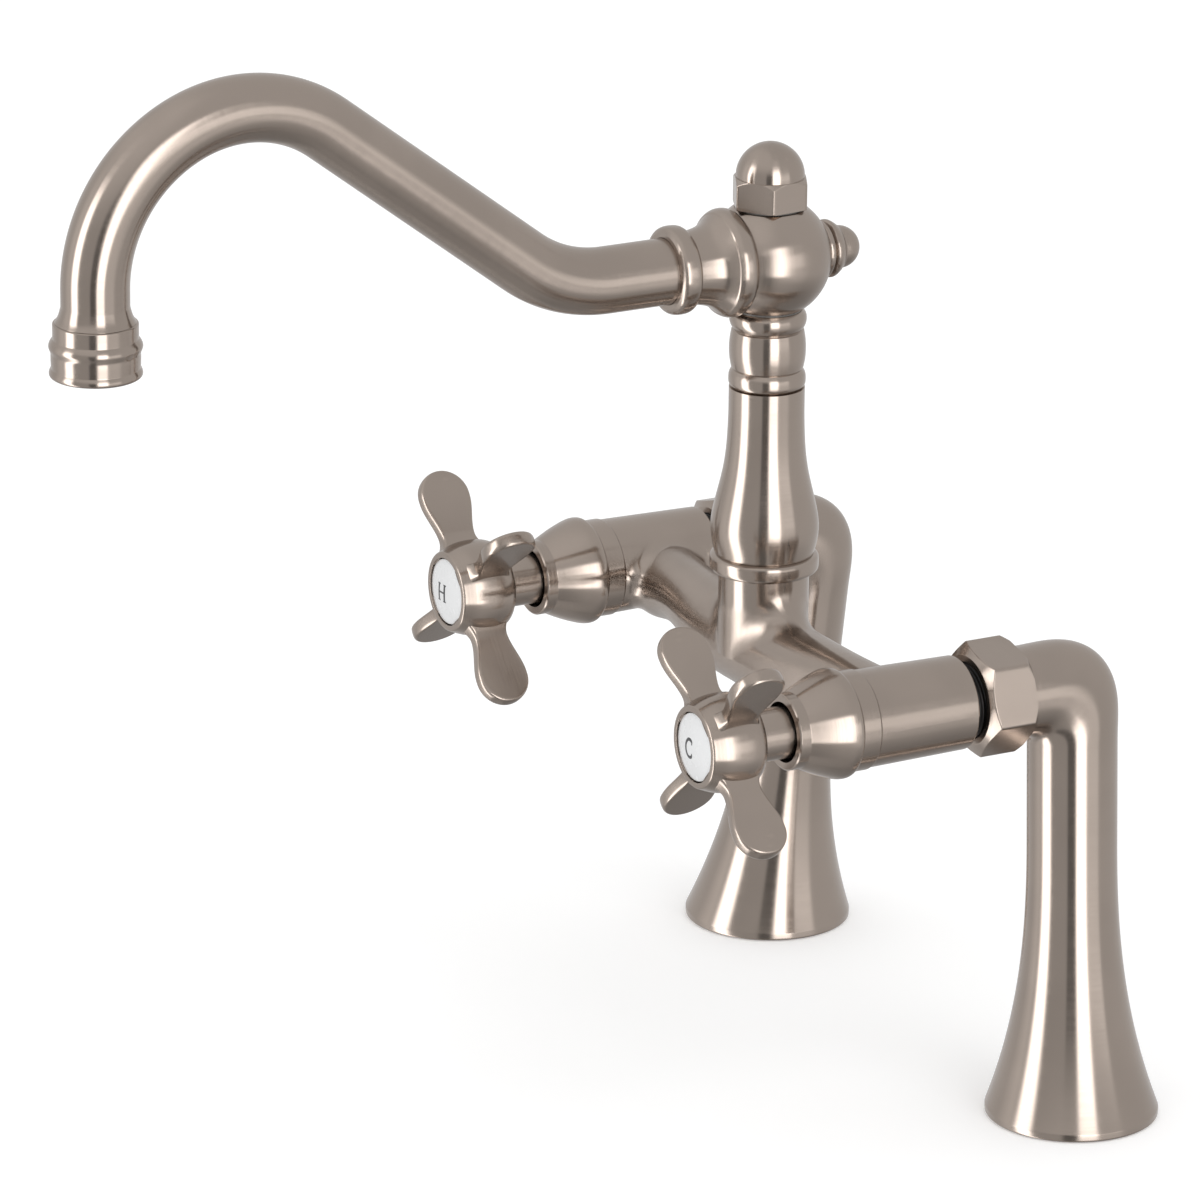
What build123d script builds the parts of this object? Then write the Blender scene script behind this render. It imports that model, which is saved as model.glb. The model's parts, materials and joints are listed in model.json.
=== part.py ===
from build123d import *
import math
import os

# Deck-standing bath filler with two valves, in millimetres.
# +Z is up, the spout reaches towards -Y, the cold side is +X.
# The origin lies on the deck, midway between the two feet.

# Layout
inlet_spacing = 178.0
barrel_spacing = 150.0
barrel_height = 124.5
elbow_setback = 4.9
post_forward = 53.5

# Clearances
running_gap = 0.05
seat_gap = 0.05
moving_gap = 0.35
face_gap = 0.1
crease_slack = 0.1

# Risers
riser_diameter = 25.8
riser_bore_diameter = 19.0
riser_bore_rise = 3.0
foot_diameter = 49.6
foot_lip_height = 2.2
foot_lip_radius = 0.7
flare_height = 80.0
flare_power = 2.5
foot_wall = 3.0
foot_cavity_height = 17.0
foot_cavity_step = 1.2
elbow_inner_radius = 3.0
elbow_bulge = 5.0
elbow_steps = 4

# Inlet sockets in the feet
inlet_thread_diameter = 18.6
inlet_bush_diameter = 25.0
inlet_bush_length = 26.0

# Unions behind the barrels, as distances forward of the feet
union_nut_back = 15.3
union_nut_length = 14.5
union_nut_across_flats = 29.0
union_nut_web = 3.1
union_nut_turn = {"hot": 17.0, "cold": -13.0}
union_nut_back_chamfer = 1.5
union_nut_front_chamfer = 2.4
union_nut_chamfer_angle = 45.0
union_mouth_chamfer = 1.6
union_thread_diameter = 24.0
union_flange_thickness = 2.5
union_flange_play = 0.8
union_neck_diameter = 19.6
union_washer_thickness = 2.0
union_bore_diameter = 15.0

# Valve barrels and bridge
barrel_back = 33.0
barrel_front = 65.0
barrel_back_diameter = 26.8
barrel_front_diameter = 27.8
barrel_edge_radius = 0.8
tail_socket_diameter = 19.0
tail_socket_depth = 8.0
tail_bore_diameter = 13.0
seat_wall = 4.0
seat_hole_diameter = 10.0
chamber_diameter = 21.0
spigot_diameter = 24.0
spigot_length = 8.0
arm_diameter = 19.8
arm_bore_diameter = 12.0
arm_bore_lap = 2.0
arm_forward = 49.0
arm_drop = 2.0
arm_end_inset = 5.0
arm_fillet_radius = 5.0
middle_diameter = 24.4
middle_drop = 4.4
middle_half_width = 18.0
middle_reach = 48.0
boss_diameter = 26.0
boss_rise = 20.1
boss_fillet_radius = 10.0
post_bore_diameter = 13.0

# Post
base_ring_diameter = 31.4
base_ring_thickness = 5.4
column_base_diameter = 28.6
column_belly_diameter = 31.1
column_top_diameter = 21.7
column_height = 49.5
column_spigot_diameter = 18.0
column_spigot_length = 9.5
neck_height = 23.0
neck_bead_diameter = 22.1
neck_barrel_diameter = 21.9
neck_groove_diameter = 19.6
neck_spigot_diameter = 16.0
neck_spigot_length = 8.0
seal_section = 1.6
post_seal_thickness = 1.2

# Ball hub and its pivot
ball_diameter = 35.6
ball_flat_diameter = 20.4
spindle_diameter = 13.6
spindle_bore_diameter = 9.0
spindle_seat_depth = 9.0
spindle_thread_diameter = 11.0
spindle_port_diameter = 6.0
water_groove_diameter = 17.0
water_groove_height = 11.0
swivel_washer_thickness = 0.5
swivel_washer_inset = 0.5
cap_nut_across_flats = 20.3
cap_nut_hex_height = 7.4
cap_nut_chamfer = 0.68
cap_nut_turn = -22.0
cap_dome_diameter = 19.2
cap_dome_rise = 1.4
cap_nut_wall = 4.0
finial_seat_margin = 1.0
finial_ring_diameter = 16.4
finial_ring_thickness = 2.3
finial_groove_diameter = 14.6
finial_bead_diameter = 16.7
finial_bead_length = 4.9
finial_ball_diameter = 12.3
finial_stud_diameter = 5.0
finial_stud_length = 5.0

# Spout
bell_seat = 11.7
bell_length = 22.0
bell_bead_diameter = 31.2
bell_waist_diameter = 20.6
bell_collar_diameter = 25.4
bell_collar_width = 6.4
bell_spigot_diameter = 15.0
bell_spigot_length = 3.0
bell_web = 3.0
tube_diameter = 19.0
tube_wall = 1.5
tube_socket_depth = 13.0
tube_start_run = 19.0
tube_low_bend_radius = 43.0
tube_rise_angle = 37.2
tube_rise_length = 75.9
tube_crest_radius = 42.7
tube_crest_fall_angle = 24.3
tube_fall_radius = 45.8
tube_end_length = 4.6
tube_flare_length = 4.4
tube_flare_diameter = 22.6

# Aerator
aerator_band_diameter = 23.6
aerator_band_height = 4.4
aerator_bead_diameter = 25.8
aerator_barrel_diameter = 24.7
aerator_height = 15.3
aerator_thread_diameter = 18.6
aerator_thread_length = 6.4
aerator_washer_thickness = 1.2
aerator_washer_lap = 1.5
aerator_insert_diameter = 17.6
aerator_mouth_diameter = 16.4
aerator_lip_height = 1.2
aerator_grid_margin = 1.0
aerator_cell = 2.6
aerator_rib = 0.7

# Bonnets, over the barrels' front spigots
bonnet_band_diameter = 28.6
bonnet_band_length = 5.8
bonnet_bead_diameter = 31.4
bonnet_lip_diameter = 21.8
bonnet_lip_length = 3.9
bonnet_length = 24.3
bonnet_mouth_diameter = 17.2

# Ceramic cartridges
seat_seal_thickness = 2.0
disc_diameter = 15.4
disc_thickness = 3.0
disc_port_diameter = 4.4
disc_port_offset = 3.9
cartridge_diameter = 17.6
cartridge_thread_length = 9.0
cartridge_seal_thickness = 2.0
cartridge_flange_across_flats = 19.0
cartridge_flange_thickness = 3.5
cartridge_flange_chamfer = 0.64
cartridge_window_width = 7.0
gland_diameter = 12.4
gland_length = 6.5
stem_diameter = 7.8
stem_flange_thickness = 3.0
stem_groove_depth = 0.9

# Handles
hub_back = 99.4
hub_length = 18.0
hub_belly_diameter = 28.0
hub_rim_diameter = 24.2
hub_floor = 3.0
skirt_diameter = 14.8
skirt_reach = 15.4
skirt_lap = 1.0
button_diameter = 19.3
button_gap = 0.35
button_recess = 4.4
button_edge_drop = 0.5
button_rise = 1.3
lobe_reach = 37.0
lobe_width = 15.6
lobe_neck_width = 10.8
lobe_neck_reach = 16.0
lobe_thickness = 4.2
lobe_edge_radius = 1.3
lobe_place = 9.0
lobe_count = 4
handle_turn = {"hot": 40.0, "cold": 48.5}
screw_diameter = 4.8
screw_head_diameter = 8.6
screw_head_height = 2.8
screw_drive_width = 3.0
screw_drive_depth = 1.8
screw_grip = 9.0

# Worked out from the sizes above
barrel_side = {"hot": -barrel_spacing / 2, "cold": barrel_spacing / 2}
inlet_side = {"hot": -inlet_spacing / 2, "cold": inlet_spacing / 2}
riser_radius = riser_diameter / 2
union_nut_front = union_nut_back + union_nut_length
union_flange_back = union_nut_back + union_nut_web
union_flange_front = union_flange_back + union_flange_thickness
flange_diameter = union_thread_diameter - 2 * running_gap - union_flange_play
tail_back = union_flange_front + union_washer_thickness
seat_face = barrel_back + tail_socket_depth + seat_wall
spigot_front = barrel_front + spigot_length
disc_back = seat_face + seat_seal_thickness
moving_disc_back = disc_back + disc_thickness + running_gap
stem_back = moving_disc_back + disc_thickness
ceiling = stem_back + stem_flange_thickness + face_gap
gland_front = spigot_front + cartridge_flange_thickness + gland_length
bonnet_front = barrel_front + bonnet_length
hub_front = hub_back + hub_length
button_seat = hub_front - button_recess
screw_seat = button_seat - screw_head_height - face_gap
stem_front = screw_seat - hub_floor
skirt_back = hub_back - skirt_reach
boss_top_height = barrel_height + boss_rise
ring_top_height = boss_top_height + base_ring_thickness
column_top_height = ring_top_height + column_height
boss_seat_height = boss_top_height - column_spigot_length - post_seal_thickness
column_seat_height = column_top_height - neck_spigot_length - post_seal_thickness
neck_top_height = column_top_height + neck_height
ball_radius = ball_diameter / 2
ball_flat = math.sqrt(ball_radius ** 2 - (ball_flat_diameter / 2) ** 2)
ball_low = neck_top_height + swivel_washer_thickness + face_gap
spout_height = ball_low + ball_flat
ball_high = spout_height + ball_flat
cap_seat_height = ball_high + face_gap + swivel_washer_thickness
cap_hex_top = cap_seat_height + cap_nut_hex_height
spindle_foot_height = neck_top_height - spindle_seat_depth
cap_dome_height = cap_hex_top + cap_dome_rise
spindle_top_height = cap_dome_height + cap_dome_diameter / 2 - cap_nut_wall
bell_front = bell_seat + bell_length
tube_back = bell_front - tube_socket_depth
tube_bore = tube_diameter / 2 - tube_wall
mouth_radius = tube_diameter / 2 + seat_gap


def at(point):
    """A (radius, height) pair of an outline, as a point in the XZ plane."""
    return (point[0], 0, point[1])


def section(first, *runs):
    """A closed face: a tuple ends a straight run, two points end an arc, and more end a smooth curve."""
    edges = []
    last = first
    for run in runs:
        if isinstance(run, list) and len(run) == 2:
            edges.append(ThreePointArc(at(last), at(run[0]), at(run[1])))
            last = run[-1]
        elif isinstance(run, list):
            edges.append(Spline(*[at(point) for point in [last, *run]]))
            last = run[-1]
        else:
            edges.append(Line(at(last), at(run)))
            last = run
    edges.append(Line(at(last), at(first)))
    return make_face(edges)


def turned(*outline):
    """A body of revolution about Z from an outline of (radius, height) points."""
    return revolve(section(*outline), Axis.Z)


def rod(diameter, low, high):
    """A plain cylinder on Z between two heights."""
    return Pos(0, 0, low) * Cylinder(diameter / 2, high - low, align=(Align.CENTER, Align.CENTER, Align.MIN))


def pipe(outer, inner, low, high):
    """A ring of two diameters between two heights."""
    return rod(outer, low, high) - rod(inner, low, high)


def hexagon(across_flats, low, high, turn, low_chamfer, high_chamfer, chamfer_angle=30):
    """A hexagon prism on Z, its corners turned off over a given length of each end."""
    corner_radius = across_flats / 2 / math.cos(math.pi / 6)
    sketch = RegularPolygon(corner_radius, 6, rotation=turn)
    prism = Pos(0, 0, low) * extrude(sketch, high - low)
    slope = math.tan(math.radians(chamfer_angle))
    outline = [(0, low), (corner_radius - low_chamfer / slope, low)]
    if low_chamfer:
        outline.append((corner_radius, low + low_chamfer))
    outline.append((corner_radius, high - high_chamfer))
    outline.append((corner_radius - high_chamfer / slope, high))
    outline.append((0, high))
    return prism & turned(*outline)


def on_post(shape):
    """From a height above the deck on Z to the post's axis."""
    return Pos(0, -post_forward, 0) * shape


def on_barrel(side, shape):
    """From a distance forward on Z to a valve's axis, with the shape's Y axis up."""
    return Pos(barrel_side[side], 0, barrel_height) * Rot(90, 0, 0) * shape


def on_spout(shape):
    """From a distance forward of the post on Z to the spout's level axis."""
    return Pos(0, -post_forward, spout_height) * Rot(90, 0, 0) * shape


def make_riser(side):
    """One riser; the cold one mirrors the hot one."""
    riser = make_hot_riser()
    return riser if side == "hot" else riser.mirror(Plane.YZ)


def make_hot_riser():
    """Foot, leaning leg, elbow and union flange of the hot riser, bored through."""
    side = "hot"
    foot = Vector(inlet_side[side], 0, foot_lip_height)
    corner = Vector(barrel_side[side], elbow_setback, barrel_height)
    up = (corner - foot).normalized()
    forward = Vector(0, -1, 0)
    foot_radius = foot_diameter / 2

    def flare_section(share, radius, height):
        """A round section of the flare, level at the deck and square to the leg at its top."""
        normal = Vector(0, 0, 1) * (1 - share) + up * share
        centre = foot + up * ((height - foot_lip_height) / up.Z)
        return Plane(origin=centre, x_dir=(1, 0, 0), z_dir=normal) * Circle(radius)

    shares = (0, 0.06, 0.14, 0.24, 0.36, 0.5, 0.66, 0.82, 1)
    flare = loft([
        flare_section(
            share,
            riser_radius + (foot_radius - riser_radius) * (1 - share) ** flare_power,
            foot_lip_height + share * (flare_height - foot_lip_height),
        )
        for share in shares
    ])
    lip = Pos(foot.X, foot.Y, 0) * turned(
        (0, 0),
        (foot_radius - foot_lip_radius, 0),
        [(foot_radius - 0.3 * foot_lip_radius, 0.3 * foot_lip_radius), (foot_radius, foot_lip_radius)],
        (foot_radius, foot_lip_height),
        (0, foot_lip_height),
    )

    down = up * -1
    bend_angle = math.radians(forward.get_angle(down))
    pivot_distance = (riser_radius + elbow_inner_radius) / math.sin(bend_angle)
    pivot = corner + (forward + down) * pivot_distance
    across = forward.cross(down).normalized()
    first = across.cross(forward).normalized() * -1
    last = down.cross(across).normalized() * -1
    sweep_angle = first.get_signed_angle(last, across)

    def elbow_section(share):
        """An oval section of the elbow in a plane through its inner pivot."""
        outward = first.rotate(Axis((0, 0, 0), across), sweep_angle * share)
        length = riser_radius + elbow_bulge / 2 * math.sin(math.pi * share) ** 2
        centre = pivot + outward * (elbow_inner_radius + length)
        plane = Plane(origin=centre, x_dir=outward, z_dir=outward.cross(across))
        return plane * Ellipse(length, riser_radius)

    elbow = loft([elbow_section(step / elbow_steps) for step in range(elbow_steps + 1)])

    leg_top = pivot + last * (elbow_inner_radius + riser_radius)
    leg_low = foot + up * ((flare_height - foot_lip_height) / up.Z)
    leg = extrude(Plane(origin=leg_low, z_dir=up) * Circle(riser_radius), (leg_top - leg_low).length)
    level_back = pivot + first * (elbow_inner_radius + riser_radius)
    level_length = (level_back.Y + union_nut_back) - 3 * face_gap
    level = extrude(Plane(origin=level_back, z_dir=forward) * Circle(riser_radius), level_length)
    union_end = on_barrel(side, rod(union_neck_diameter, -level_back.Y, union_flange_front))
    flange = on_barrel(side, rod(flange_diameter, union_flange_back, union_flange_front))
    riser = lip + flare + leg + elbow + level + union_end + flange

    bore_length = (corner - foot).length + riser_bore_rise
    waterway = extrude(Plane(origin=foot, z_dir=up) * Circle(riser_bore_diameter / 2), bore_length)
    waterway += on_barrel(side, rod(union_bore_diameter, -elbow_setback, union_flange_front))
    waterway += Pos(foot.X, foot.Y, 0) * rod(inlet_bush_diameter + 2 * seat_gap, 0, inlet_bush_length)
    cavity_radius = foot_radius - foot_wall
    waterway += Pos(foot.X, foot.Y, 0) * turned(
        (0, 0),
        (cavity_radius, 0),
        (inlet_bush_diameter / 2 + foot_cavity_step, foot_cavity_height),
        (0, foot_cavity_height),
    )
    return riser - waterway


def make_inlet_bush(side):
    """The threaded socket that takes the supply shank from below."""
    return Pos(inlet_side[side], 0, 0) * pipe(inlet_bush_diameter, inlet_thread_diameter, 0, inlet_bush_length)


def make_union_nut(side):
    """Hexagon nut that draws the riser's flange onto the tail, open and chamfered in front."""
    nut = hexagon(
        union_nut_across_flats, union_nut_back, union_nut_front, union_nut_turn[side],
        union_nut_back_chamfer, union_nut_front_chamfer, union_nut_chamfer_angle,
    )
    thread_radius = union_thread_diameter / 2 + running_gap
    bore = turned(
        (0, union_nut_back),
        (union_neck_diameter / 2 + 2 * running_gap, union_nut_back),
        (union_neck_diameter / 2 + 2 * running_gap, union_flange_back),
        (thread_radius, union_flange_back),
        (thread_radius, union_nut_front - union_mouth_chamfer),
        (thread_radius + union_mouth_chamfer, union_nut_front),
        (0, union_nut_front),
    )
    return on_barrel(side, nut - bore)


def make_union_washer(side):
    """Flat rubber washer between the riser's flange and the tail."""
    return on_barrel(side, pipe(flange_diameter, union_bore_diameter, union_flange_front, tail_back))


def make_union_tail(side):
    """Threaded tail screwed into the back of the barrel."""
    tail = rod(union_thread_diameter, tail_back, barrel_back)
    tail += rod(tail_socket_diameter - 2 * seat_gap, barrel_back, barrel_back + tail_socket_depth)
    return on_barrel(side, tail - rod(tail_bore_diameter, tail_back, barrel_back + tail_socket_depth))


def arm_swell(x):
    """How far the bridge has swelled towards its middle: 1 over the middle, 0 from the reach outwards."""
    share = (abs(x) - middle_half_width) / (middle_reach - middle_half_width)
    share = min(max(share, 0), 1)
    return 1 - share ** 2 * (3 - 2 * share)


def arm_centre(x):
    """The bridge's centre line, which bows forward and down towards the post."""
    bow = (post_forward - arm_forward) * (2 * x / barrel_spacing) ** 2
    drop = arm_drop + (middle_drop - arm_drop) * arm_swell(x)
    return Vector(x, bow - post_forward, barrel_height - drop)


def arm_section(x):
    """The bridge's round section at one place along it."""
    diameter = arm_diameter + (middle_diameter - arm_diameter) * arm_swell(x)
    return Plane(origin=arm_centre(x), x_dir=(0, 1, 0), z_dir=(1, 0, 0)) * Circle(diameter / 2)


def crease_edges(body, distance, radius):
    """Edges where something meets a cylinder: curved, and one radius from its axis all along."""
    quarters = (0, 0.25, 0.5, 0.75, 1)
    return [
        edge
        for edge in body.edges()
        if edge.geom_type not in (GeomType.LINE, GeomType.CIRCLE)
        and all(abs(distance(edge.position_at(share)) - radius) < crease_slack for share in quarters)
    ]


def make_bridge_body():
    """Two barrels, the arm between them and the centre boss, cast in one."""
    middle_span = (middle_reach - middle_half_width) / 3
    half = [middle_half_width + step * middle_span for step in range(4)]
    half.append(barrel_spacing / 2 - arm_end_inset)
    stations = [-x for x in reversed(half)] + [0] + half
    body = loft([arm_section(x) for x in stations])
    for side in barrel_side:
        body += on_barrel(side, turned(
            (0, barrel_back),
            (barrel_back_diameter / 2 - barrel_edge_radius, barrel_back),
            [
                (barrel_back_diameter / 2 - 0.3 * barrel_edge_radius, barrel_back + 0.3 * barrel_edge_radius),
                (barrel_back_diameter / 2, barrel_back + barrel_edge_radius),
            ],
            (barrel_front_diameter / 2, barrel_front),
            (0, barrel_front),
        ))
    body += on_post(rod(boss_diameter, arm_centre(0).Z, boss_top_height))

    def from_barrel(point):
        """How far a point lies from the nearer barrel's mean wall, as if that were a cylinder."""
        share = (-point.Y - barrel_back) / (barrel_front - barrel_back)
        taper = (barrel_front_diameter - barrel_back_diameter) / 2 * share
        return math.hypot(abs(point.X) - barrel_spacing / 2, point.Z - barrel_height) - taper

    def from_post(point):
        """How far a point lies from the post's axis."""
        return math.hypot(point.X, point.Y + post_forward)

    body = fillet(crease_edges(body, from_barrel, barrel_back_diameter / 2), arm_fillet_radius)
    body = fillet(crease_edges(body, from_post, boss_diameter / 2), boss_fillet_radius)
    for side in barrel_side:
        body += on_barrel(side, rod(spigot_diameter, barrel_front, spigot_front))
        body -= on_barrel(side, rod(tail_socket_diameter, barrel_back, barrel_back + tail_socket_depth))
        body -= on_barrel(side, rod(seat_hole_diameter, barrel_back, seat_face))
        body -= on_barrel(side, rod(chamber_diameter, seat_face, spigot_front))
    reach = barrel_spacing / 2 - chamber_diameter / 2 + arm_bore_lap
    path = ThreePointArc(arm_centre(-reach), arm_centre(0), arm_centre(reach))
    body -= sweep(Plane(origin=path @ 0, z_dir=path % 0) * Circle(arm_bore_diameter / 2), path=path)
    body -= on_post(rod(post_bore_diameter, arm_centre(0).Z, boss_top_height))
    body -= on_post(rod(column_spigot_diameter + 2 * seat_gap, boss_seat_height, boss_top_height))
    return body


def make_post_base_ring():
    """Round-edged ring between the boss and the column."""
    radius = base_ring_diameter / 2
    middle = boss_top_height + base_ring_thickness / 2
    inner = column_spigot_diameter / 2 + seat_gap
    return on_post(turned(
        (inner, boss_top_height),
        (radius - 1.6, boss_top_height),
        [(radius - 0.4, boss_top_height + 0.6), (radius, middle), (radius - 0.4, ring_top_height - 0.6),
         (radius - 1.6, ring_top_height)],
        (inner, ring_top_height),
    ))


def make_post_column():
    """Bottle-shaped column with a screwed spigot below and a socket above."""
    base = column_base_diameter / 2
    belly = column_belly_diameter / 2
    top = column_top_diameter / 2
    low = ring_top_height
    taper = belly - top
    column = turned(
        (0, low),
        (base, low),
        [
            (belly, low + 0.15 * column_height),
            (belly - 0.2 * taper, low + 0.29 * column_height),
            (top + 0.27 * taper, low + 0.51 * column_height),
            (top, low + 0.85 * column_height),
        ],
        (top, column_top_height),
        (0, column_top_height),
    )
    spigot_low = boss_top_height - column_spigot_length
    column += rod(column_spigot_diameter, spigot_low, low)
    column -= rod(post_bore_diameter, spigot_low, column_top_height)
    column -= rod(neck_spigot_diameter + 2 * seat_gap, column_seat_height, column_top_height)
    return on_post(column)


def make_post_neck():
    """Neck with a bead at each end of a small barrel, screwed into the column."""
    bead = neck_bead_diameter / 2
    groove = neck_groove_diameter / 2
    barrel = neck_barrel_diameter / 2
    round_off = bead - barrel / 1.05
    low = column_top_height
    high = neck_top_height

    def up(share):
        """A height part of the way up the neck."""
        return low + share * neck_height

    neck = turned(
        (0, low),
        (bead - round_off, low),
        [(bead, up(0.12)), (bead - round_off, up(0.21))],
        (groove + 0.3, up(0.25)),
        [(barrel - 0.3, up(0.36)), (barrel, up(0.5)), (barrel - 0.4, up(0.65)), (groove, up(0.74))],
        [(bead - round_off, up(0.78)), (bead, up(0.88)), (bead - 0.3, up(0.95)), (bead - 1.2, high)],
        (0, high),
    )
    neck += rod(neck_spigot_diameter, low - neck_spigot_length, low)
    neck -= rod(spindle_bore_diameter, low - neck_spigot_length, high)
    neck -= rod(spindle_diameter + 2 * seat_gap, spindle_foot_height, high)
    return on_post(neck)


def make_post_seals():
    """Rubber rings under the column's spigot and under the neck's spigot."""
    low_ring = pipe(
        column_spigot_diameter, post_bore_diameter, boss_seat_height, boss_seat_height + post_seal_thickness
    )
    high_ring = pipe(
        neck_spigot_diameter, post_bore_diameter, column_seat_height, column_seat_height + post_seal_thickness
    )
    return on_post(low_ring + high_ring)


def make_swivel_spindle():
    """Hollow spindle that the ball turns on, ported sideways and threaded for the cap nut."""
    shank_top = cap_seat_height
    spindle = rod(spindle_diameter, spindle_foot_height, shank_top)
    spindle += rod(spindle_thread_diameter, shank_top, spindle_top_height)
    spindle -= rod(spindle_bore_diameter, spindle_foot_height, spout_height + water_groove_height / 2)
    for turn in range(4):
        port = Rot(0, 90, 90 * turn + 45) * Cylinder(spindle_port_diameter / 2, spindle_diameter)
        spindle -= Pos(0, 0, spout_height) * port
    for height in seal_heights():
        spindle -= Pos(0, 0, height) * Torus(seal_centre_radius(), seal_section / 2)
    return on_post(spindle)


def seal_heights():
    """The two heights of the spindle's seals, above and below the water groove."""
    middle = (water_groove_height / 2 + ball_flat) / 2
    return (spout_height - middle, spout_height + middle)


def seal_centre_radius():
    """The radius of the spindle seals' centre line."""
    return spindle_diameter / 2 + running_gap / 2 - seal_section / 2


def make_spindle_seals():
    """Two rubber rings in the spindle's grooves."""
    rings = [Pos(0, 0, height) * Torus(seal_centre_radius(), seal_section / 2) for height in seal_heights()]
    return on_post(rings[0] + rings[1])


def swivel_washer(low, high):
    """A thrust washer around the spindle between two heights."""
    outer = ball_flat_diameter - 2 * swivel_washer_inset
    return on_post(pipe(outer, spindle_diameter + 2 * seat_gap, low, high))


def make_lower_swivel_washer():
    """Thrust washer on the neck, under the ball."""
    return swivel_washer(neck_top_height, ball_low - face_gap)


def make_upper_swivel_washer():
    """Thrust washer on the ball, under the cap nut."""
    return swivel_washer(ball_high + face_gap, cap_seat_height)


def make_cap_nut():
    """Acorn nut: a hexagon with a dome, threaded blind from below."""
    nut = hexagon(
        cap_nut_across_flats, cap_seat_height, cap_hex_top, cap_nut_turn, cap_nut_chamfer, cap_nut_chamfer
    )
    dome = cap_dome_diameter / 2
    shoulder = dome * math.sqrt(0.5)
    nut += turned(
        (0, cap_hex_top),
        (dome, cap_hex_top),
        (dome, cap_dome_height),
        [(shoulder, cap_dome_height + shoulder), (0, cap_dome_height + dome)],
    )
    nut -= rod(spindle_thread_diameter + 2 * seat_gap, cap_seat_height, spindle_top_height + seat_gap)
    return on_post(nut)


def make_ball_hub():
    """Ball bored for the spindle, grooved for water, with a seat for the bell and a hole for the finial."""
    ball = Pos(0, 0, spout_height) * Sphere(ball_radius)
    ball &= rod(ball_diameter, ball_low, ball_high)
    ball -= rod(spindle_diameter + 2 * running_gap, ball_low, ball_high)
    groove_low = spout_height - water_groove_height / 2
    ball -= rod(water_groove_diameter, groove_low, groove_low + water_groove_height)
    hub = on_post(ball)
    hub -= on_spout(rod(ball_diameter, bell_seat, ball_diameter))
    hub -= on_spout(rod(bell_spigot_diameter + 2 * seat_gap, bell_seat - bell_spigot_length, bell_seat))
    hub -= on_spout(rod(spindle_bore_diameter, 0, bell_seat))
    finial_seat = finial_back()
    hub -= on_spout(rod(2 * finial_seat_radius(), -ball_diameter, -finial_seat))
    stud_hole = rod(finial_stud_diameter + 2 * seat_gap, -finial_seat, -finial_seat + finial_stud_length)
    hub -= on_spout(stud_hole)
    return hub


def finial_seat_radius():
    """The radius of the flat behind the ball that the finial sits on."""
    return finial_ring_diameter / 2 + finial_seat_margin


def finial_back():
    """How far behind the post's axis the finial's seat lies."""
    return math.sqrt(ball_radius ** 2 - finial_seat_radius() ** 2)


def make_rear_finial():
    """Ring, bead and small ball behind the hub, on a screwed stud."""
    seat = -finial_back()
    ring = finial_ring_diameter / 2
    groove = finial_groove_diameter / 2
    bead = finial_bead_diameter / 2
    ball = finial_ball_diameter / 2
    ring_back = seat - finial_ring_thickness
    ball_middle = ring_back - finial_bead_length
    shoulder = ball * math.sqrt(0.5)

    def back(share):
        """A place part of the way from the ring's back to the ball's middle."""
        return ring_back - share * finial_bead_length

    finial = turned(
        (0, seat),
        (ring - 1.0, seat),
        [(ring - 0.2, seat - 0.3 * finial_ring_thickness), (ring, seat - 0.65 * finial_ring_thickness),
         (ring - 0.3, ring_back)],
        (groove, back(0.05)),
        [(bead - 0.15, back(0.15)), (bead, back(0.27)), (bead - 0.45, back(0.5)), (bead - 1.4, back(0.75)),
         (ball + 0.15, back(0.88)), (ball, ball_middle)],
        [(shoulder, ball_middle - shoulder), (0, ball_middle - ball)],
    )
    finial += rod(finial_stud_diameter, seat, seat + finial_stud_length)
    return on_spout(finial)


def make_spout_bell():
    """Beaded bell in front of the ball, bored as a socket for the tube."""
    bead = bell_bead_diameter / 2
    waist = bell_waist_diameter / 2
    collar = bell_collar_diameter / 2
    back = bell_seat
    front = bell_front
    collar_back = front - bell_collar_width
    bell = turned(
        (0, back),
        (bead - 0.7, back),
        [(bead - 0.2, back + 1.0), (bead, back + 2.4), (bead - 0.3, back + 4.0), (bead - 1.0, back + 5.2)],
        (bead - 1.4, back + 5.4),
        [(bead - 3.6, back + 8.2), (waist + 0.5, back + 12.0), (waist, collar_back - 0.5)],
        (waist, collar_back),
        [(waist + 1.6, collar_back + 0.5), (collar, (collar_back + front) / 2), (waist + 1.6, front - 0.5),
         (waist + 0.6, front)],
        (0, front),
    )
    bell += rod(bell_spigot_diameter, back - bell_spigot_length, back)
    bell -= rod(spindle_bore_diameter, back - bell_spigot_length, back + bell_web)
    bell -= rod(2 * tube_bore, back + bell_web, front)
    bell -= rod(tube_diameter + 2 * seat_gap, tube_back, front)
    return on_spout(bell)


def spout_line():
    """The tube's centre line: level run, low bend, straight rise, high arch and short drop."""
    start = (tube_back, 0)
    level = Line(start, (bell_front + tube_start_run, 0))
    low_bend = JernArc(level @ 1, level % 1, tube_low_bend_radius, tube_rise_angle)
    rise = Line(low_bend @ 1, (low_bend @ 1) + (low_bend % 1) * tube_rise_length)
    crest = JernArc(rise @ 1, rise % 1, tube_crest_radius, -tube_rise_angle - tube_crest_fall_angle)
    fall = JernArc(crest @ 1, crest % 1, tube_fall_radius, tube_crest_fall_angle - 90)
    drop = Line(fall @ 1, (fall @ 1) + (fall % 1) * (tube_end_length + tube_flare_length))
    line = Curve() + [level, low_bend, rise, crest, fall, drop]
    plane = Plane(origin=(0, -post_forward, spout_height), x_dir=(0, -1, 0), z_dir=(-1, 0, 0))
    return plane * line


def spout_end():
    """The middle of the tube's lower end, where the aerator's housing begins."""
    return spout_line() @ 1


def at_outlet(shape):
    """From a height above the tube's lower end on Z to the outlet's axis."""
    end = spout_end()
    return Pos(end.X, end.Y, end.Z) * shape


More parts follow.
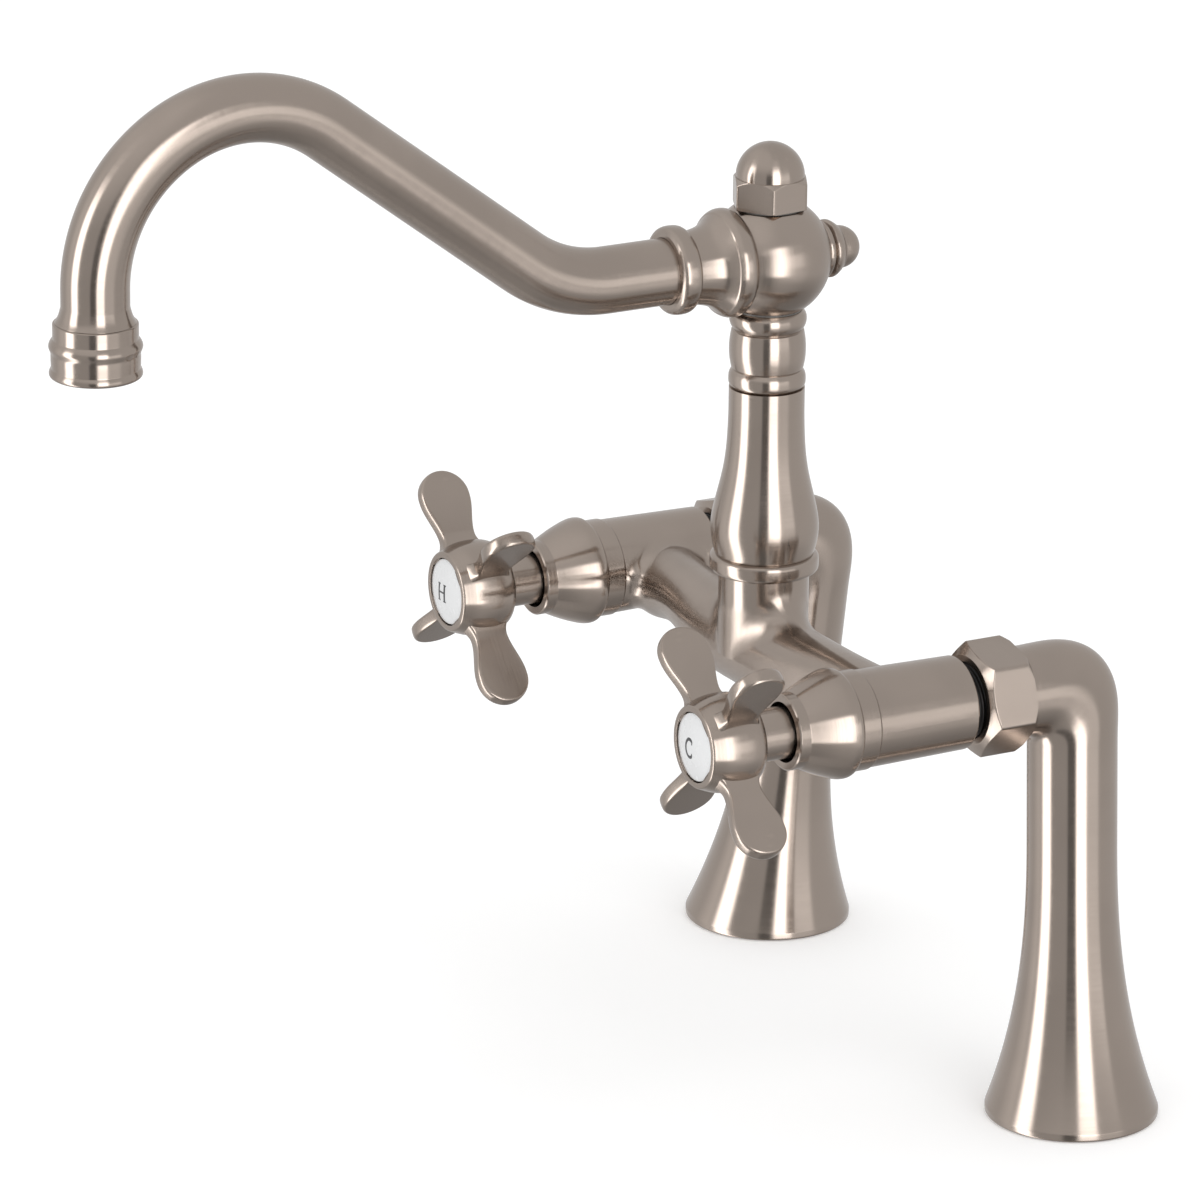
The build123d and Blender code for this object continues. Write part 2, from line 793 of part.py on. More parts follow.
def make_spout_tube():
    """Swan-neck tube with a flared end and a threaded nose for the aerator."""
    path = spout_line()
    plane = Plane(origin=path @ 0, z_dir=path % 0)
    outside = sweep(plane * Circle(tube_diameter / 2), path=path)
    inside = sweep(plane * Circle(tube_bore), path=path)
    flare = tube_flare_diameter / 2
    tube = outside + at_outlet(turned(
        (0, 0),
        (flare, 0),
        [(flare - 0.9, 1.4), (tube_diameter / 2 + 0.35, 3.0), (tube_diameter / 2, tube_flare_length)],
        (0, tube_flare_length),
    ))
    tube += at_outlet(rod(aerator_thread_diameter, -aerator_thread_length, 0))
    return tube - inside - at_outlet(rod(2 * tube_bore, -aerator_thread_length, 0))


def make_aerator_housing():
    """Stepped collar at the outlet: band, bead, tapered barrel and lower lip."""
    band = aerator_band_diameter / 2
    bead = aerator_bead_diameter / 2
    barrel = aerator_barrel_diameter / 2
    low = -aerator_height
    step = aerator_band_height
    thread = aerator_thread_diameter / 2 + seat_gap
    mouth = aerator_mouth_diameter / 2
    insert = aerator_insert_diameter / 2 + seat_gap
    housing = turned(
        (thread, 0),
        (band - 0.3, 0),
        (band, -0.3),
        (band, -step),
        [(bead - 0.2, -step - 1.3), (bead, -step - 2.4), (bead - 0.5, -step - 3.8), (barrel, -step - 5.2)],
        (barrel - 0.1, low + 2.6),
        [(bead - 0.1, low + 1.4), (bead - 0.2, low + 0.5), (bead - 0.9, low)],
        (mouth, low),
        (mouth, low + aerator_lip_height),
        (insert, low + aerator_lip_height),
        (insert, -aerator_thread_length - aerator_washer_thickness),
        (thread, -aerator_thread_length - aerator_washer_thickness),
    )
    return at_outlet(housing)


def make_aerator_washer():
    """Rubber washer between the tube's nose and the insert."""
    inner = aerator_mouth_diameter - 2 * aerator_washer_lap
    top = -aerator_thread_length
    return at_outlet(pipe(aerator_thread_diameter, inner, top - aerator_washer_thickness, top))


def make_aerator_insert():
    """Flow straightener: a ring with a square grid of water cells."""
    low = -aerator_height + aerator_lip_height
    high = -aerator_thread_length - aerator_washer_thickness
    insert = rod(aerator_insert_diameter, low, high)
    grid_radius = aerator_mouth_diameter / 2 - aerator_grid_margin
    pitch = aerator_cell + aerator_rib
    steps = int(grid_radius / pitch)
    for row in range(-steps, steps + 1):
        for column in range(-steps, steps + 1):
            reach = math.hypot(abs(row) * pitch + aerator_cell / 2, abs(column) * pitch + aerator_cell / 2)
            if reach < grid_radius:
                insert -= Pos(row * pitch, column * pitch, (low + high) / 2) * Box(
                    aerator_cell, aerator_cell, aerator_height
                )
    return at_outlet(insert)


def make_bonnet(side):
    """Cover over the cartridge: slim band, round bead, cone and mouth lip."""
    band = bonnet_band_diameter / 2
    bead = bonnet_bead_diameter / 2
    lip = bonnet_lip_diameter / 2
    mouth = bonnet_mouth_diameter / 2
    thread = spigot_diameter / 2 + seat_gap
    back = barrel_front
    front = bonnet_front
    bead_back = back + bonnet_band_length
    cone_front = front - bonnet_lip_length
    cone = cone_front - bead_back
    bonnet = turned(
        (thread, back),
        (band - 0.2, back),
        (band, back + 0.2),
        (band, bead_back),
        [(bead - 0.3, bead_back + 0.06 * cone), (bead, bead_back + 0.15 * cone),
         (bead - 0.6, bead_back + 0.36 * cone), (0.4 * bead + 0.6 * lip, bead_back + 0.76 * cone),
         (lip + 0.25, cone_front)],
        (lip, cone_front + 0.5),
        (lip, front - 0.4),
        (lip - 0.4, front),
        (mouth, front),
        (mouth, cone_front),
        (thread, spigot_front + cartridge_flange_thickness + 0.5),
    )
    return on_barrel(side, bonnet)


def make_seat_seal(side):
    """Rubber seat between the barrel's wall and the fixed disc."""
    return on_barrel(side, pipe(disc_diameter, seat_hole_diameter, seat_face, disc_back))


def disc_ports(low, high):
    """The two water ports of a ceramic disc."""
    ports = Pos(disc_port_offset, 0, 0) * rod(disc_port_diameter, low, high)
    return ports + Pos(-disc_port_offset, 0, 0) * rod(disc_port_diameter, low, high)


def make_fixed_disc(side):
    """Lower ceramic disc, with two ports."""
    high = disc_back + disc_thickness
    return on_barrel(side, rod(disc_diameter, disc_back, high) - disc_ports(disc_back, high))


def make_moving_disc(side):
    """Upper ceramic disc, open at two sides, a quarter turn from the ports when shut."""
    high = moving_disc_back + disc_thickness
    disc = rod(disc_diameter - 2 * moving_gap, moving_disc_back, high)
    for way in (-1, 1):
        notch = Pos(0, way * disc_diameter / 2, 0) * rod(0.6 * disc_diameter, moving_disc_back, high)
        disc -= notch
    return on_barrel(side, disc)


def make_cartridge_body(side):
    """Brass cartridge: windowed cup over the discs, thread, hexagon flange and gland."""
    cup_bore = disc_diameter + 2 * seat_gap
    body = rod(cartridge_diameter, disc_back, spigot_front - cartridge_thread_length)
    body += rod(chamber_diameter - 2 * seat_gap, spigot_front - cartridge_thread_length, spigot_front)
    body += hexagon(
        cartridge_flange_across_flats, spigot_front, spigot_front + cartridge_flange_thickness, 0,
        0, cartridge_flange_chamfer,
    )
    body += rod(gland_diameter, spigot_front, gland_front)
    body -= rod(cup_bore, disc_back, ceiling)
    body -= rod(stem_diameter + 2 * running_gap, ceiling, gland_front)
    window = Box(cartridge_window_width, 2 * cartridge_diameter, disc_thickness)
    body -= Pos(0, 0, moving_disc_back + disc_thickness / 2) * window
    return on_barrel(side, body)


def make_cartridge_seal(side):
    """Rubber ring under the cartridge's thread."""
    outer = chamber_diameter - 2 * seat_gap
    inner = cartridge_diameter + 2 * seat_gap
    front = spigot_front - cartridge_thread_length
    return on_barrel(side, pipe(outer, inner, front - cartridge_seal_thickness, front))


def stem_seal_height():
    """The middle of the gland, where the stem's ring sits."""
    return gland_front - gland_length / 2


def make_stem(side):
    """Turning stem: drive flange on the disc, shank through the gland, end for the handle."""
    stem = rod(disc_diameter - 2 * moving_gap, stem_back, stem_back + stem_flange_thickness)
    stem += rod(stem_diameter, stem_back, stem_front)
    stem -= rod(screw_diameter + 2 * seat_gap, stem_front - screw_grip - 1, stem_front)
    groove_low = stem_seal_height() - seal_section / 2
    stem -= pipe(stem_diameter, stem_diameter - 2 * stem_groove_depth, groove_low, groove_low + seal_section)
    return on_barrel(side, stem)


def make_stem_seal(side):
    """Rubber ring in the stem's groove."""
    low = stem_seal_height() - seal_section / 2
    ring = pipe(stem_diameter, stem_diameter - 2 * stem_groove_depth, low, low + seal_section)
    return on_barrel(side, ring)


def lobe_outline():
    """The outline of one wing lobe in its own plane: reach along X, width along Y."""
    tip = lobe_width / 2
    tip_centre = lobe_reach - tip
    neck = lobe_neck_width / 2
    root = skirt_diameter / 2
    upper = Spline(
        (root, neck + 1.4), (lobe_neck_reach, neck), (tip_centre - 0.55 * tip, tip - 0.35), (tip_centre, tip),
        tangents=((1, -0.5), (1, 0)),
    )
    end = ThreePointArc((tip_centre, tip), (lobe_reach, 0), (tip_centre, -tip))
    lower = Spline(
        (tip_centre, -tip), (tip_centre - 0.55 * tip, -tip + 0.35), (lobe_neck_reach, -neck), (root, -neck - 1.4),
        tangents=((-1, 0), (-1, -0.5)),
    )
    back = Line((root, -neck - 1.4), (root, neck + 1.4))
    return make_face([upper, end, lower, back])


def make_handle(side):
    """Hub, skirt and four wing lobes in one casting, with seats for button, screw and stem."""
    belly = hub_belly_diameter / 2
    rim = hub_rim_diameter / 2
    skirt = skirt_diameter / 2
    seat = button_diameter / 2 + button_gap
    back = hub_back
    front = hub_front
    hub = turned(
        (0, back),
        (skirt + 1.6, back),
        [(belly - 2.6, back + 0.8), (belly - 0.7, back + 3.6), (belly, back + 8.4), (belly - 0.5, back + 13.0),
         (rim - 0.1, front - 1.0)],
        [(rim - 0.5, front - 0.2), (rim - 1.2, front)],
        (0, front),
    )
    lobe = extrude(lobe_outline(), lobe_thickness / 2, both=True)
    faces = lobe.faces().sort_by(Axis.Z)
    lobe = fillet(faces[0].edges() + faces[-1].edges(), lobe_edge_radius)
    upright = Rot(90, 0, 0) * lobe
    for index in range(lobe_count):
        turn = handle_turn[side] + index * 360 / lobe_count
        hub += Rot(0, 0, turn) * Pos(0, 0, back + lobe_place) * upright
    hub += rod(skirt_diameter, skirt_back, back + skirt_lap)
    hub -= rod(2 * seat, button_seat, front + lobe_width)
    hub -= rod(screw_head_diameter + 2 * seat_gap, screw_seat, button_seat)
    hub -= rod(screw_diameter + 4 * seat_gap, stem_front, screw_seat)
    hub -= rod(stem_diameter + 2 * seat_gap, skirt_back, stem_front)
    return on_barrel(side, hub)


def make_handle_screw(side):
    """Socket-head screw through the hub into the stem."""
    head_top = screw_seat + screw_head_height
    screw = rod(screw_head_diameter, screw_seat, head_top)
    screw += rod(screw_diameter, stem_front - screw_grip, screw_seat)
    drive = RegularPolygon(screw_drive_width / 2 / math.cos(math.pi / 6), 6)
    screw -= Pos(0, 0, head_top - screw_drive_depth) * extrude(drive, screw_drive_depth)
    return on_barrel(side, screw)


def make_index_button(side):
    """Domed porcelain button in the hub's recess."""
    radius = button_diameter / 2
    edge = hub_front - button_edge_drop
    top = hub_front + button_rise
    rise = top - edge
    dome_radius = (radius ** 2 + rise ** 2) / (2 * rise)
    half_angle = math.asin(radius / dome_radius) / 2
    shoulder = (dome_radius * math.sin(half_angle), top - dome_radius * (1 - math.cos(half_angle)))
    button = turned((0, button_seat), (radius, button_seat), (radius, edge), [shoulder, (0, top)])
    return on_barrel(side, button)


sided = {
    "riser": make_riser,
    "inlet_bush": make_inlet_bush,
    "union_nut": make_union_nut,
    "union_washer": make_union_washer,
    "union_tail": make_union_tail,
    "bonnet": make_bonnet,
    "seat_seal": make_seat_seal,
    "fixed_disc": make_fixed_disc,
    "moving_disc": make_moving_disc,
    "cartridge_body": make_cartridge_body,
    "cartridge_seal": make_cartridge_seal,
    "stem": make_stem,
    "stem_seal": make_stem_seal,
    "handle": make_handle,
    "handle_screw": make_handle_screw,
    "index_button": make_index_button,
}
single = {
    "bridge_body": make_bridge_body,
    "post_base_ring": make_post_base_ring,
    "post_column": make_post_column,
    "post_neck": make_post_neck,
    "post_seals": make_post_seals,
    "swivel_spindle": make_swivel_spindle,
    "spindle_seals": make_spindle_seals,
    "lower_swivel_washer": make_lower_swivel_washer,
    "upper_swivel_washer": make_upper_swivel_washer,
    "cap_nut": make_cap_nut,
    "ball_hub": make_ball_hub,
    "rear_finial": make_rear_finial,
    "spout_bell": make_spout_bell,
    "spout_tube": make_spout_tube,
    "aerator_housing": make_aerator_housing,
    "aerator_washer": make_aerator_washer,
    "aerator_insert": make_aerator_insert,
}

os.makedirs("parts", exist_ok=True)
for name, make in single.items():
    export_step(make(), f"parts/{name}.step")
for side in barrel_side:
    for name, make in sided.items():
        export_step(make(side), f"parts/{side}_{name}.step")
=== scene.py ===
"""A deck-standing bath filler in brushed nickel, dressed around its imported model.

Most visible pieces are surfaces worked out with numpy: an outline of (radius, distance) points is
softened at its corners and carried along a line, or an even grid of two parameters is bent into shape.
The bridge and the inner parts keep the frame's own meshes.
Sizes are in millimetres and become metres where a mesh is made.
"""

import json
import math

import bpy
import numpy as np
from bpy.props import BoolProperty, FloatProperty, FloatVectorProperty, IntProperty, PointerProperty
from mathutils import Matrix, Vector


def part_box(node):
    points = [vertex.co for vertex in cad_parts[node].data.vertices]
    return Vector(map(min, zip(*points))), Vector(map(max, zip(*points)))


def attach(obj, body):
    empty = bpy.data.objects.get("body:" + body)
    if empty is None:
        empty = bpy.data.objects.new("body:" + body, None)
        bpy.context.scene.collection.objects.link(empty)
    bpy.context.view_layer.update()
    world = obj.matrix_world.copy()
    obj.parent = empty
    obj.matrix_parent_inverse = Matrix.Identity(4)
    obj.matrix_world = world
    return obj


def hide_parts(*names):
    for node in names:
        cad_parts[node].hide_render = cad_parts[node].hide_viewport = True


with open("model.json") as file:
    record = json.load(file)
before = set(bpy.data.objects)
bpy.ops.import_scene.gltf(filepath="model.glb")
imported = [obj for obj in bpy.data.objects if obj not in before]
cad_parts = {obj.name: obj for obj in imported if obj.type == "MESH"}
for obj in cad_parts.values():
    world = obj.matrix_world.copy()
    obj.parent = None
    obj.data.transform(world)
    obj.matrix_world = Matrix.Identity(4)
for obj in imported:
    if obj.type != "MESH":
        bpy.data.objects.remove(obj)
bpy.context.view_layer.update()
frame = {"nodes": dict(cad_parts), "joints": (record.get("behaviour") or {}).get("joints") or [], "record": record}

bl_info = {
    "name": "Bath filler",
    "version": (1, 0, 0),
    "blender": (4, 5, 0),
    "location": "3D View > Sidebar > Bath filler",
    "description": "Builds the looks of a two-handle bath filler around its fixed frame",
    "category": "Add Mesh",
}

MM = 0.001
TURN = 2 * math.pi
UP = np.array((0.0, 0, 1))
FORWARD = np.array((0.0, -1, 0))

JOINTS = {joint["name"]: np.array(joint["pos_m"]) / MM for joint in frame["joints"]}
POST_FORWARD = -JOINTS["spout_swivel"][1]
SPOUT_HEIGHT = JOINTS["spout_swivel"][2]
VALVE_X = {"hot": JOINTS["hot_handle_turn"][0], "cold": JOINTS["cold_handle_turn"][0]}
VALVE_HEIGHT = JOINTS["cold_handle_turn"][2]
LOBE_FORWARD = -JOINTS["cold_handle_turn"][1]
SIDES = ("hot", "cold")


def low_of(node, axis):
    """The lowest coordinate of a node along one axis, in millimetres."""
    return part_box(node)[0][axis] / MM


def high_of(node, axis):
    """The highest coordinate of a node along one axis, in millimetres."""
    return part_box(node)[1][axis] / MM


# Camera, solved together with the shape from the photograph
VIEW_AZIMUTH = math.radians(61.68)
VIEW_ELEVATION = math.radians(18.74)
VIEW_ROLL = math.radians(0.57)
VIEW_DISTANCE = 2383.3
VIEW_TARGET = np.array((-2.55, -105.31, 142.17))
VIEW_LENS = 251.8
VIEW_SENSOR = 36.0

# Risers
RISER_RADIUS = 12.9
RISER_WALL = 3.4
FOOT_RADIUS = 24.8
FOOT_LIP = 2.2
FOOT_LIP_RADIUS = 0.7
FLARE_HEIGHT = 80.0
FLARE_POWER = 2.5
FOOT_WALL = 3.0
CAVITY_HEIGHT = 17.0
BUSH_RADIUS = 12.5
BUSH_LENGTH = 26.0
ELBOW_SETBACK = 4.9
ELBOW_INNER = 3.0
ELBOW_BULGE = 5.0
NECK_RADIUS = 9.8
FLANGE_RADIUS = 11.55
UNION_BORE = 7.5

# Unions, as distances forward of the feet
NUT_BACK = 15.3
NUT_FRONT = 29.8
NUT_WEB = 3.1
NUT_FLAT_RADIUS = 14.5
NUT_CUT_FROM = 0.9 * NUT_FLAT_RADIUS
NUT_EASE = 0.08
NUT_TURN = {"hot": 17.0, "cold": -13.0}
NUT_BACK_CHAMFER = 1.5
NUT_FRONT_CHAMFER = 3.9
NUT_MOUTH = 11.0
FLANGE_THICKNESS = 2.5
TAIL_BACK = 22.9
TAIL_THREAD = 10.95
TAIL_SOCKET = 9.45
TAIL_SOCKET_DEPTH = 8.0
TAIL_BORE = 6.5
BARREL_BACK = 33.0
BARREL_FRONT = 65.0

# How far the corners are eased on the sharper pieces
HEXAGON_SOFTNESS = 0.12
POLISHED_SOFTNESS = 0.14

# Post
BOSS_TOP = low_of("post_base_ring", 2)
RING_TOP = high_of("post_base_ring", 2)
COLUMN_TOP = high_of("post_column", 2)
NECK_TOP = high_of("post_neck", 2)
POST_BORE = 6.5
COLUMN_SPIGOT = 9.0
COLUMN_SPIGOT_DEPTH = 9.5
COLUMN_SOCKET = 8.05
COLUMN_SOCKET_DEPTH = 9.2
NECK_SPIGOT = 8.0
NECK_SPIGOT_DEPTH = 8.0
NECK_SOCKET_DEPTH = 9.0
SPINDLE_BORE = 6.85

# Hub and spout
BALL_RADIUS = 17.8
BALL_FLAT_RADIUS = 10.2
BALL_FLAT = math.sqrt(BALL_RADIUS ** 2 - BALL_FLAT_RADIUS ** 2)
FINIAL_SEAT_RADIUS = 9.2
FINIAL_SEAT = math.sqrt(BALL_RADIUS ** 2 - FINIAL_SEAT_RADIUS ** 2)
CAP_SEAT = low_of("cap_nut", 2)
CAP_FLAT_RADIUS = 10.05
CAP_TURN = -24.0
CAP_CUT_FROM = 9.9
CAP_EASE = 0.06
BELL_SEAT = 11.7
BELL_LENGTH = 22.0
WATERWAY = 4.5
TUBE_RADIUS = 9.5
TUBE_WALL = 1.5
TUBE_SOCKET = 13.0

# Handles, as distances forward of the feet and out from the valve's axis
HUB_BACK = 99.4
HUB_FRONT = 117.4
HANDLE_TURN = {"hot": 40.0, "cold": 48.5}
LOBE_COUNT = 4
LOBE_ROOT = 9.0
LOBE_NECK_AT = 16.0
LOBE_NECK_HALF = 5.4
LOBE_REACH = 37.0
LOBE_HALF_WIDTH = 7.8
LOBE_TIP_CENTRE = LOBE_REACH - LOBE_HALF_WIDTH
LOBE_HALF_THICK = 2.1

# Buttons
BUTTON_RADIUS = 9.65
BUTTON_SEAT = HUB_FRONT - 4.4
BUTTON_EDGE = HUB_FRONT - 0.5
BUTTON_TOP = HUB_FRONT + 1.3
DOME_RADIUS = (BUTTON_RADIUS ** 2 + (BUTTON_TOP - BUTTON_EDGE) ** 2) / (2 * (BUTTON_TOP - BUTTON_EDGE))


class FillerSizes(bpy.types.PropertyGroup):
    """Small sizes of the finish that the eye sees but the fit does not need."""

    edge_softness: FloatProperty(
        name="Edge softness", description="How far the corners of turned pieces are eased",
        default=0.22 * MM, unit="LENGTH", precision=5,
    )
    thread_pitch: FloatProperty(
        name="Thread pitch", description="Distance from one ridge of the tail threads to the next",
        default=1.8 * MM, unit="LENGTH", precision=5,
    )
    thread_depth: FloatProperty(
        name="Thread depth", description="Depth of the tail threads",
        default=0.6 * MM, unit="LENGTH", precision=5,
    )
    around: IntProperty(
        name="Facets around", description="Number of facets around a turned piece", default=112,
    )


class FillerFinish(bpy.types.PropertyGroup):
    """Colours and gloss of the pieces."""

    nickel: FloatVectorProperty(
        name="Nickel", description="Colour of the brushed plate", subtype="COLOR", size=3,
        default=(0.395, 0.334, 0.291),
    )
    nickel_roughness: FloatProperty(
        name="Nickel roughness", description="How matt the brushed plate is", default=0.21,
        subtype="FACTOR",
    )
    nickel_grain: FloatProperty(
        name="Nickel grain", description="How much the brushing stretches highlights", default=0.87,
        subtype="FACTOR",
    )
    porcelain: FloatVectorProperty(
        name="Porcelain", description="Colour of the two buttons", subtype="COLOR", size=3,
        default=(0.86, 0.865, 0.87),
    )
    ink: FloatVectorProperty(
        name="Ink", description="Colour of the letters on the buttons", subtype="COLOR", size=3,
        default=(0.015, 0.015, 0.018),
    )
    # Nearly black: blackened threads, and also painted shade for the shadowed gap between nut and barrel
    thread: FloatVectorProperty(
        name="Thread", description="Colour of the blackened tail threads", subtype="COLOR", size=3,
        default=(0.012, 0.011, 0.011),
    )


class FillerStudio(bpy.types.PropertyGroup):
    """Floor, backdrop and panels of the studio."""

    floor: FloatVectorProperty(
        name="Floor", description="Colour of the floor", subtype="COLOR", size=3, default=(0.9, 0.9, 0.9),
    )
    fill: FloatProperty(name="Fill light", description="Level of the light on matt surfaces", default=0.95)
    strip: FloatProperty(name="Strip light", description="Brightness of the tall panels", default=4.3)
    flag: FloatProperty(name="Flag", description="Brightness left in the dark panel", default=0.2)
    key: BoolProperty(name="Key lamp", description="Adds a soft lamp over the right shoulder", default=True)


# Lines that an outline is carried along

class Line:
    """A straight axis; a distance of s lies at origin + s * along."""

    def __init__(self, origin, along, side):
        self.origin = np.array(origin, float)
        self.along = np.array(along, float)
        self.side = np.array(side, float)

    def frames(self, s):
        """Centre, first and second cross directions at each distance."""
        other = np.cross(self.along, self.side)
        centre = self.origin + s[:, None] * self.along
        return centre, np.tile(self.side, (len(s), 1)), np.tile(other, (len(s), 1))


def post_line():
    """The post's axis; distances are heights above the deck."""
    return Line((0, -POST_FORWARD, 0), (0, 0, 1), (1, 0, 0))


def valve_line(side):
    """A valve's level axis; distances run forward from the feet."""
    return Line((VALVE_X[side], 0, VALVE_HEIGHT), (0, -1, 0), (1, 0, 0))


def spout_line():
    """The spout's level axis through the ball; distances run forward from the post."""
    return Line((0, -POST_FORWARD, SPOUT_HEIGHT), (0, -1, 0), (1, 0, 0))


# Outlines

def lengths_along(profile):
    """Distance run along an outline up to each of its points."""
    return np.concatenate(([0], np.cumsum(np.linalg.norm(np.diff(profile, axis=0), axis=1))))


def smooth_through(points, steps):
    """A natural cubic spline through the points, with chord length as its parameter.

    The second derivatives solve the usual tridiagonal system, and each span is then the cubic that has
    those values and second derivatives at its ends.
    """
    points = np.array(points, float)
    knots = lengths_along(points)
    gaps = np.diff(knots)
    count = len(points)
    matrix = np.eye(count)
    right = np.zeros((count, 2))
    inner = np.arange(1, count - 1)
    matrix[inner, inner - 1] = gaps[:-1]
    matrix[inner, inner] = 2 * (gaps[:-1] + gaps[1:])
    matrix[inner, inner + 1] = gaps[1:]
    slopes = np.diff(points, axis=0) / gaps[:, None]
    right[inner] = 6 * (slopes[1:] - slopes[:-1])
    bend = np.linalg.solve(matrix, right)
    at = np.linspace(0, knots[-1], steps)
    span = np.clip(np.searchsorted(knots, at, "right") - 1, 0, count - 2)
    gap = gaps[span][:, None]
    ahead = (knots[span + 1] - at)[:, None]
    behind = (at - knots[span])[:, None]
    return (
        bend[span] * ahead ** 3 / (6 * gap)
        + bend[span + 1] * behind ** 3 / (6 * gap)
        + (points[span] / gap - bend[span] * gap / 6) * ahead
        + (points[span + 1] / gap - bend[span + 1] * gap / 6) * behind
    )


def arc(centre, radius, start, end, steps=60):
    """Points of a circular arc about a centre, from one angle to another in degrees."""
    angle = np.radians(np.linspace(start, end, steps))
    return np.stack((centre[0] + radius * np.cos(angle), centre[1] + radius * np.sin(angle)), 1)


def outline(first, *runs):
    """Joins runs into one array of (radius, distance) points.

    A pair ends a straight run, a list of pairs is a smooth curve through them, and an array is taken
    as it is.
    """
    parts = [np.array([first], float)]
    for run in runs:
        if isinstance(run, np.ndarray):
            parts.append(run)
        elif isinstance(run, list):
            parts.append(smooth_through([parts[-1][-1], *run], 24 * len(run))[1:])
        else:
            parts.append(np.array([run], float))
    return np.concatenate(parts)


def evenly(points, step):
    """The same line with points at even distances along it."""
    lengths = np.linalg.norm(np.diff(points, axis=0), axis=1)
    keep = np.concatenate(([True], lengths > 1e-9))
    points = points[keep]
    along = lengths_along(points)
    at = np.linspace(0, along[-1], max(int(along[-1] / step), 8))
    return np.stack([np.interp(at, along, column) for column in points.T], 1)


def softened(points, closed, softness, longest=2.5, sharpest=10.0):
    """Eases the corners of an outline, then thins it where it is straight.

    Each point becomes the mean of its neighbours within the softness, weighted by a triangle, which
    turns a corner into a small round and leaves straight runs as they are. The points kept are those at
    even steps of length / longest + turning / sharpest, so rounds have many and straight runs few.
    """
    step = softness / 4
    if closed:
        points = evenly(np.concatenate((points, points[:1])), step)[:-1]
    else:
        points = evenly(points, step)
    reach = 5
    weights = np.convolve(np.ones(reach), np.ones(reach))
    weights /= weights.sum()
    margin = len(weights) // 2
    if closed:
        padded = np.concatenate((points[-margin:], points, points[:margin]))
    else:
        flip = np.array((-1.0, 1.0))
        before = points[margin:0:-1] * flip
        after = points[-2:-margin - 2:-1] * flip
        padded = np.concatenate((before, points, after))
    smooth = np.stack([np.convolve(column, weights, "valid") for column in padded.T], 1)
    if closed:
        smooth = np.concatenate((smooth, smooth[:1]))
    else:
        smooth[0, 0] = 0
        smooth[-1, 0] = 0
    edges = np.diff(smooth, axis=0)
    heading = np.unwrap(np.arctan2(edges[:, 1], edges[:, 0]))
    turning = np.abs(np.diff(heading, prepend=heading[0]))
    cost = np.linalg.norm(edges, axis=1) / longest + np.degrees(turning) / sharpest
    total = np.concatenate(([0], np.cumsum(cost)))
    at = np.linspace(0, total[-1], int(total[-1]) + 8)
    thinned = np.stack([np.interp(at, total, column) for column in smooth.T], 1)
    return thinned[:-1] if closed else thinned


# Meshes

def slope(values, axis, closed):
    """Difference between the next and the last value along one axis of a grid."""
    if closed:
        return np.roll(values, -1, axis) - np.roll(values, 1, axis)
    return np.gradient(values, axis=axis)


def unit(vectors):
    """The same vectors at length one; a vector with no length stays as it is."""
    return vectors / np.maximum(np.linalg.norm(vectors, axis=-1, keepdims=True), 1e-12)


def grid_faces(rows, columns, closed):
    """Quads of a grid whose columns close up, and whose rows close up too or end in two poles."""
    if closed:
        index = np.arange(rows * columns).reshape(rows, columns)
        low = index
        high = np.roll(index, -1, 0)
    else:
        index = np.arange((rows - 2) * columns).reshape(rows - 2, columns) + 1
        low = index[:-1]
        high = index[1:]
    quads = np.stack((low, high, np.roll(high, -1, 1), np.roll(low, -1, 1)), -1).reshape(-1, 4)
    if closed:
        return quads, np.zeros((0, 3), int)
    first = np.stack((np.zeros(columns, int), index[0], np.roll(index[0], -1)), -1)
    last_pole = np.full(columns, (rows - 2) * columns + 1)
    last = np.stack((last_pole, np.roll(index[-1], -1), index[-1]), -1)
    return quads, np.concatenate((first, last))


def as_vertices(grid, closed):
    """A grid of values as one row for each vertex, with each pole's row reduced to its mean."""
    if closed:
        return grid.reshape(-1, 3)
    return np.concatenate((grid[:1].mean(1), grid[1:-1].reshape(-1, 3), grid[-1:].mean(1)))


class Shell:
    """Vertices, faces and surface directions of one closed skin, in millimetres."""

    def __init__(self, grid, across, closed):
        rows, columns = grid.shape[:2]
        around = slope(grid, 1, True)
        along = slope(grid, 0, closed)
        normal = unit(np.cross(around, along))
        quads, triangles = grid_faces(rows, columns, closed)
        self.points = as_vertices(grid, closed)
        self.normals = as_vertices(normal, closed)
        self.grain = as_vertices(unit(around), closed)
        self.across = as_vertices(across, closed)
        self.quads = quads
        self.triangles = triangles
        if not closed:
            self.normals[0] = unit(normal[1].mean(0))
            self.normals[-1] = unit(normal[-2].mean(0))
            self.grain[0] = self.grain[1]
            self.grain[-1] = self.grain[-2]
        if self.volume() < 0:
            self.quads = quads[:, ::-1]
            self.triangles = triangles[:, ::-1]
        corner = self.points[self.quads]
        facing = np.cross(corner[:, 2] - corner[:, 0], corner[:, 3] - corner[:, 1])
        agree = np.einsum("ij,ij->i", facing, self.normals[self.quads[:, 0]]).sum()
        if agree < 0:
            self.normals = -self.normals

    def volume(self):
        """Six times the volume inside, positive where the faces point outwards."""
        faces = np.concatenate((self.triangles, self.quads[:, :3], self.quads[:, (0, 2, 3)]))
        a, b, c = (self.points[faces[:, corner]] for corner in range(3))
        return np.einsum("ij,ij->", a, np.cross(b, c))


def material(name):
    """One of the finishes, by its plain name."""
    return bpy.data.materials[f"filler_{name}"]


def add_object(name, data):
    """A new object, linked into the scene."""
    made = bpy.data.objects.new(name, data)
    bpy.context.scene.collection.objects.link(made)
    return made


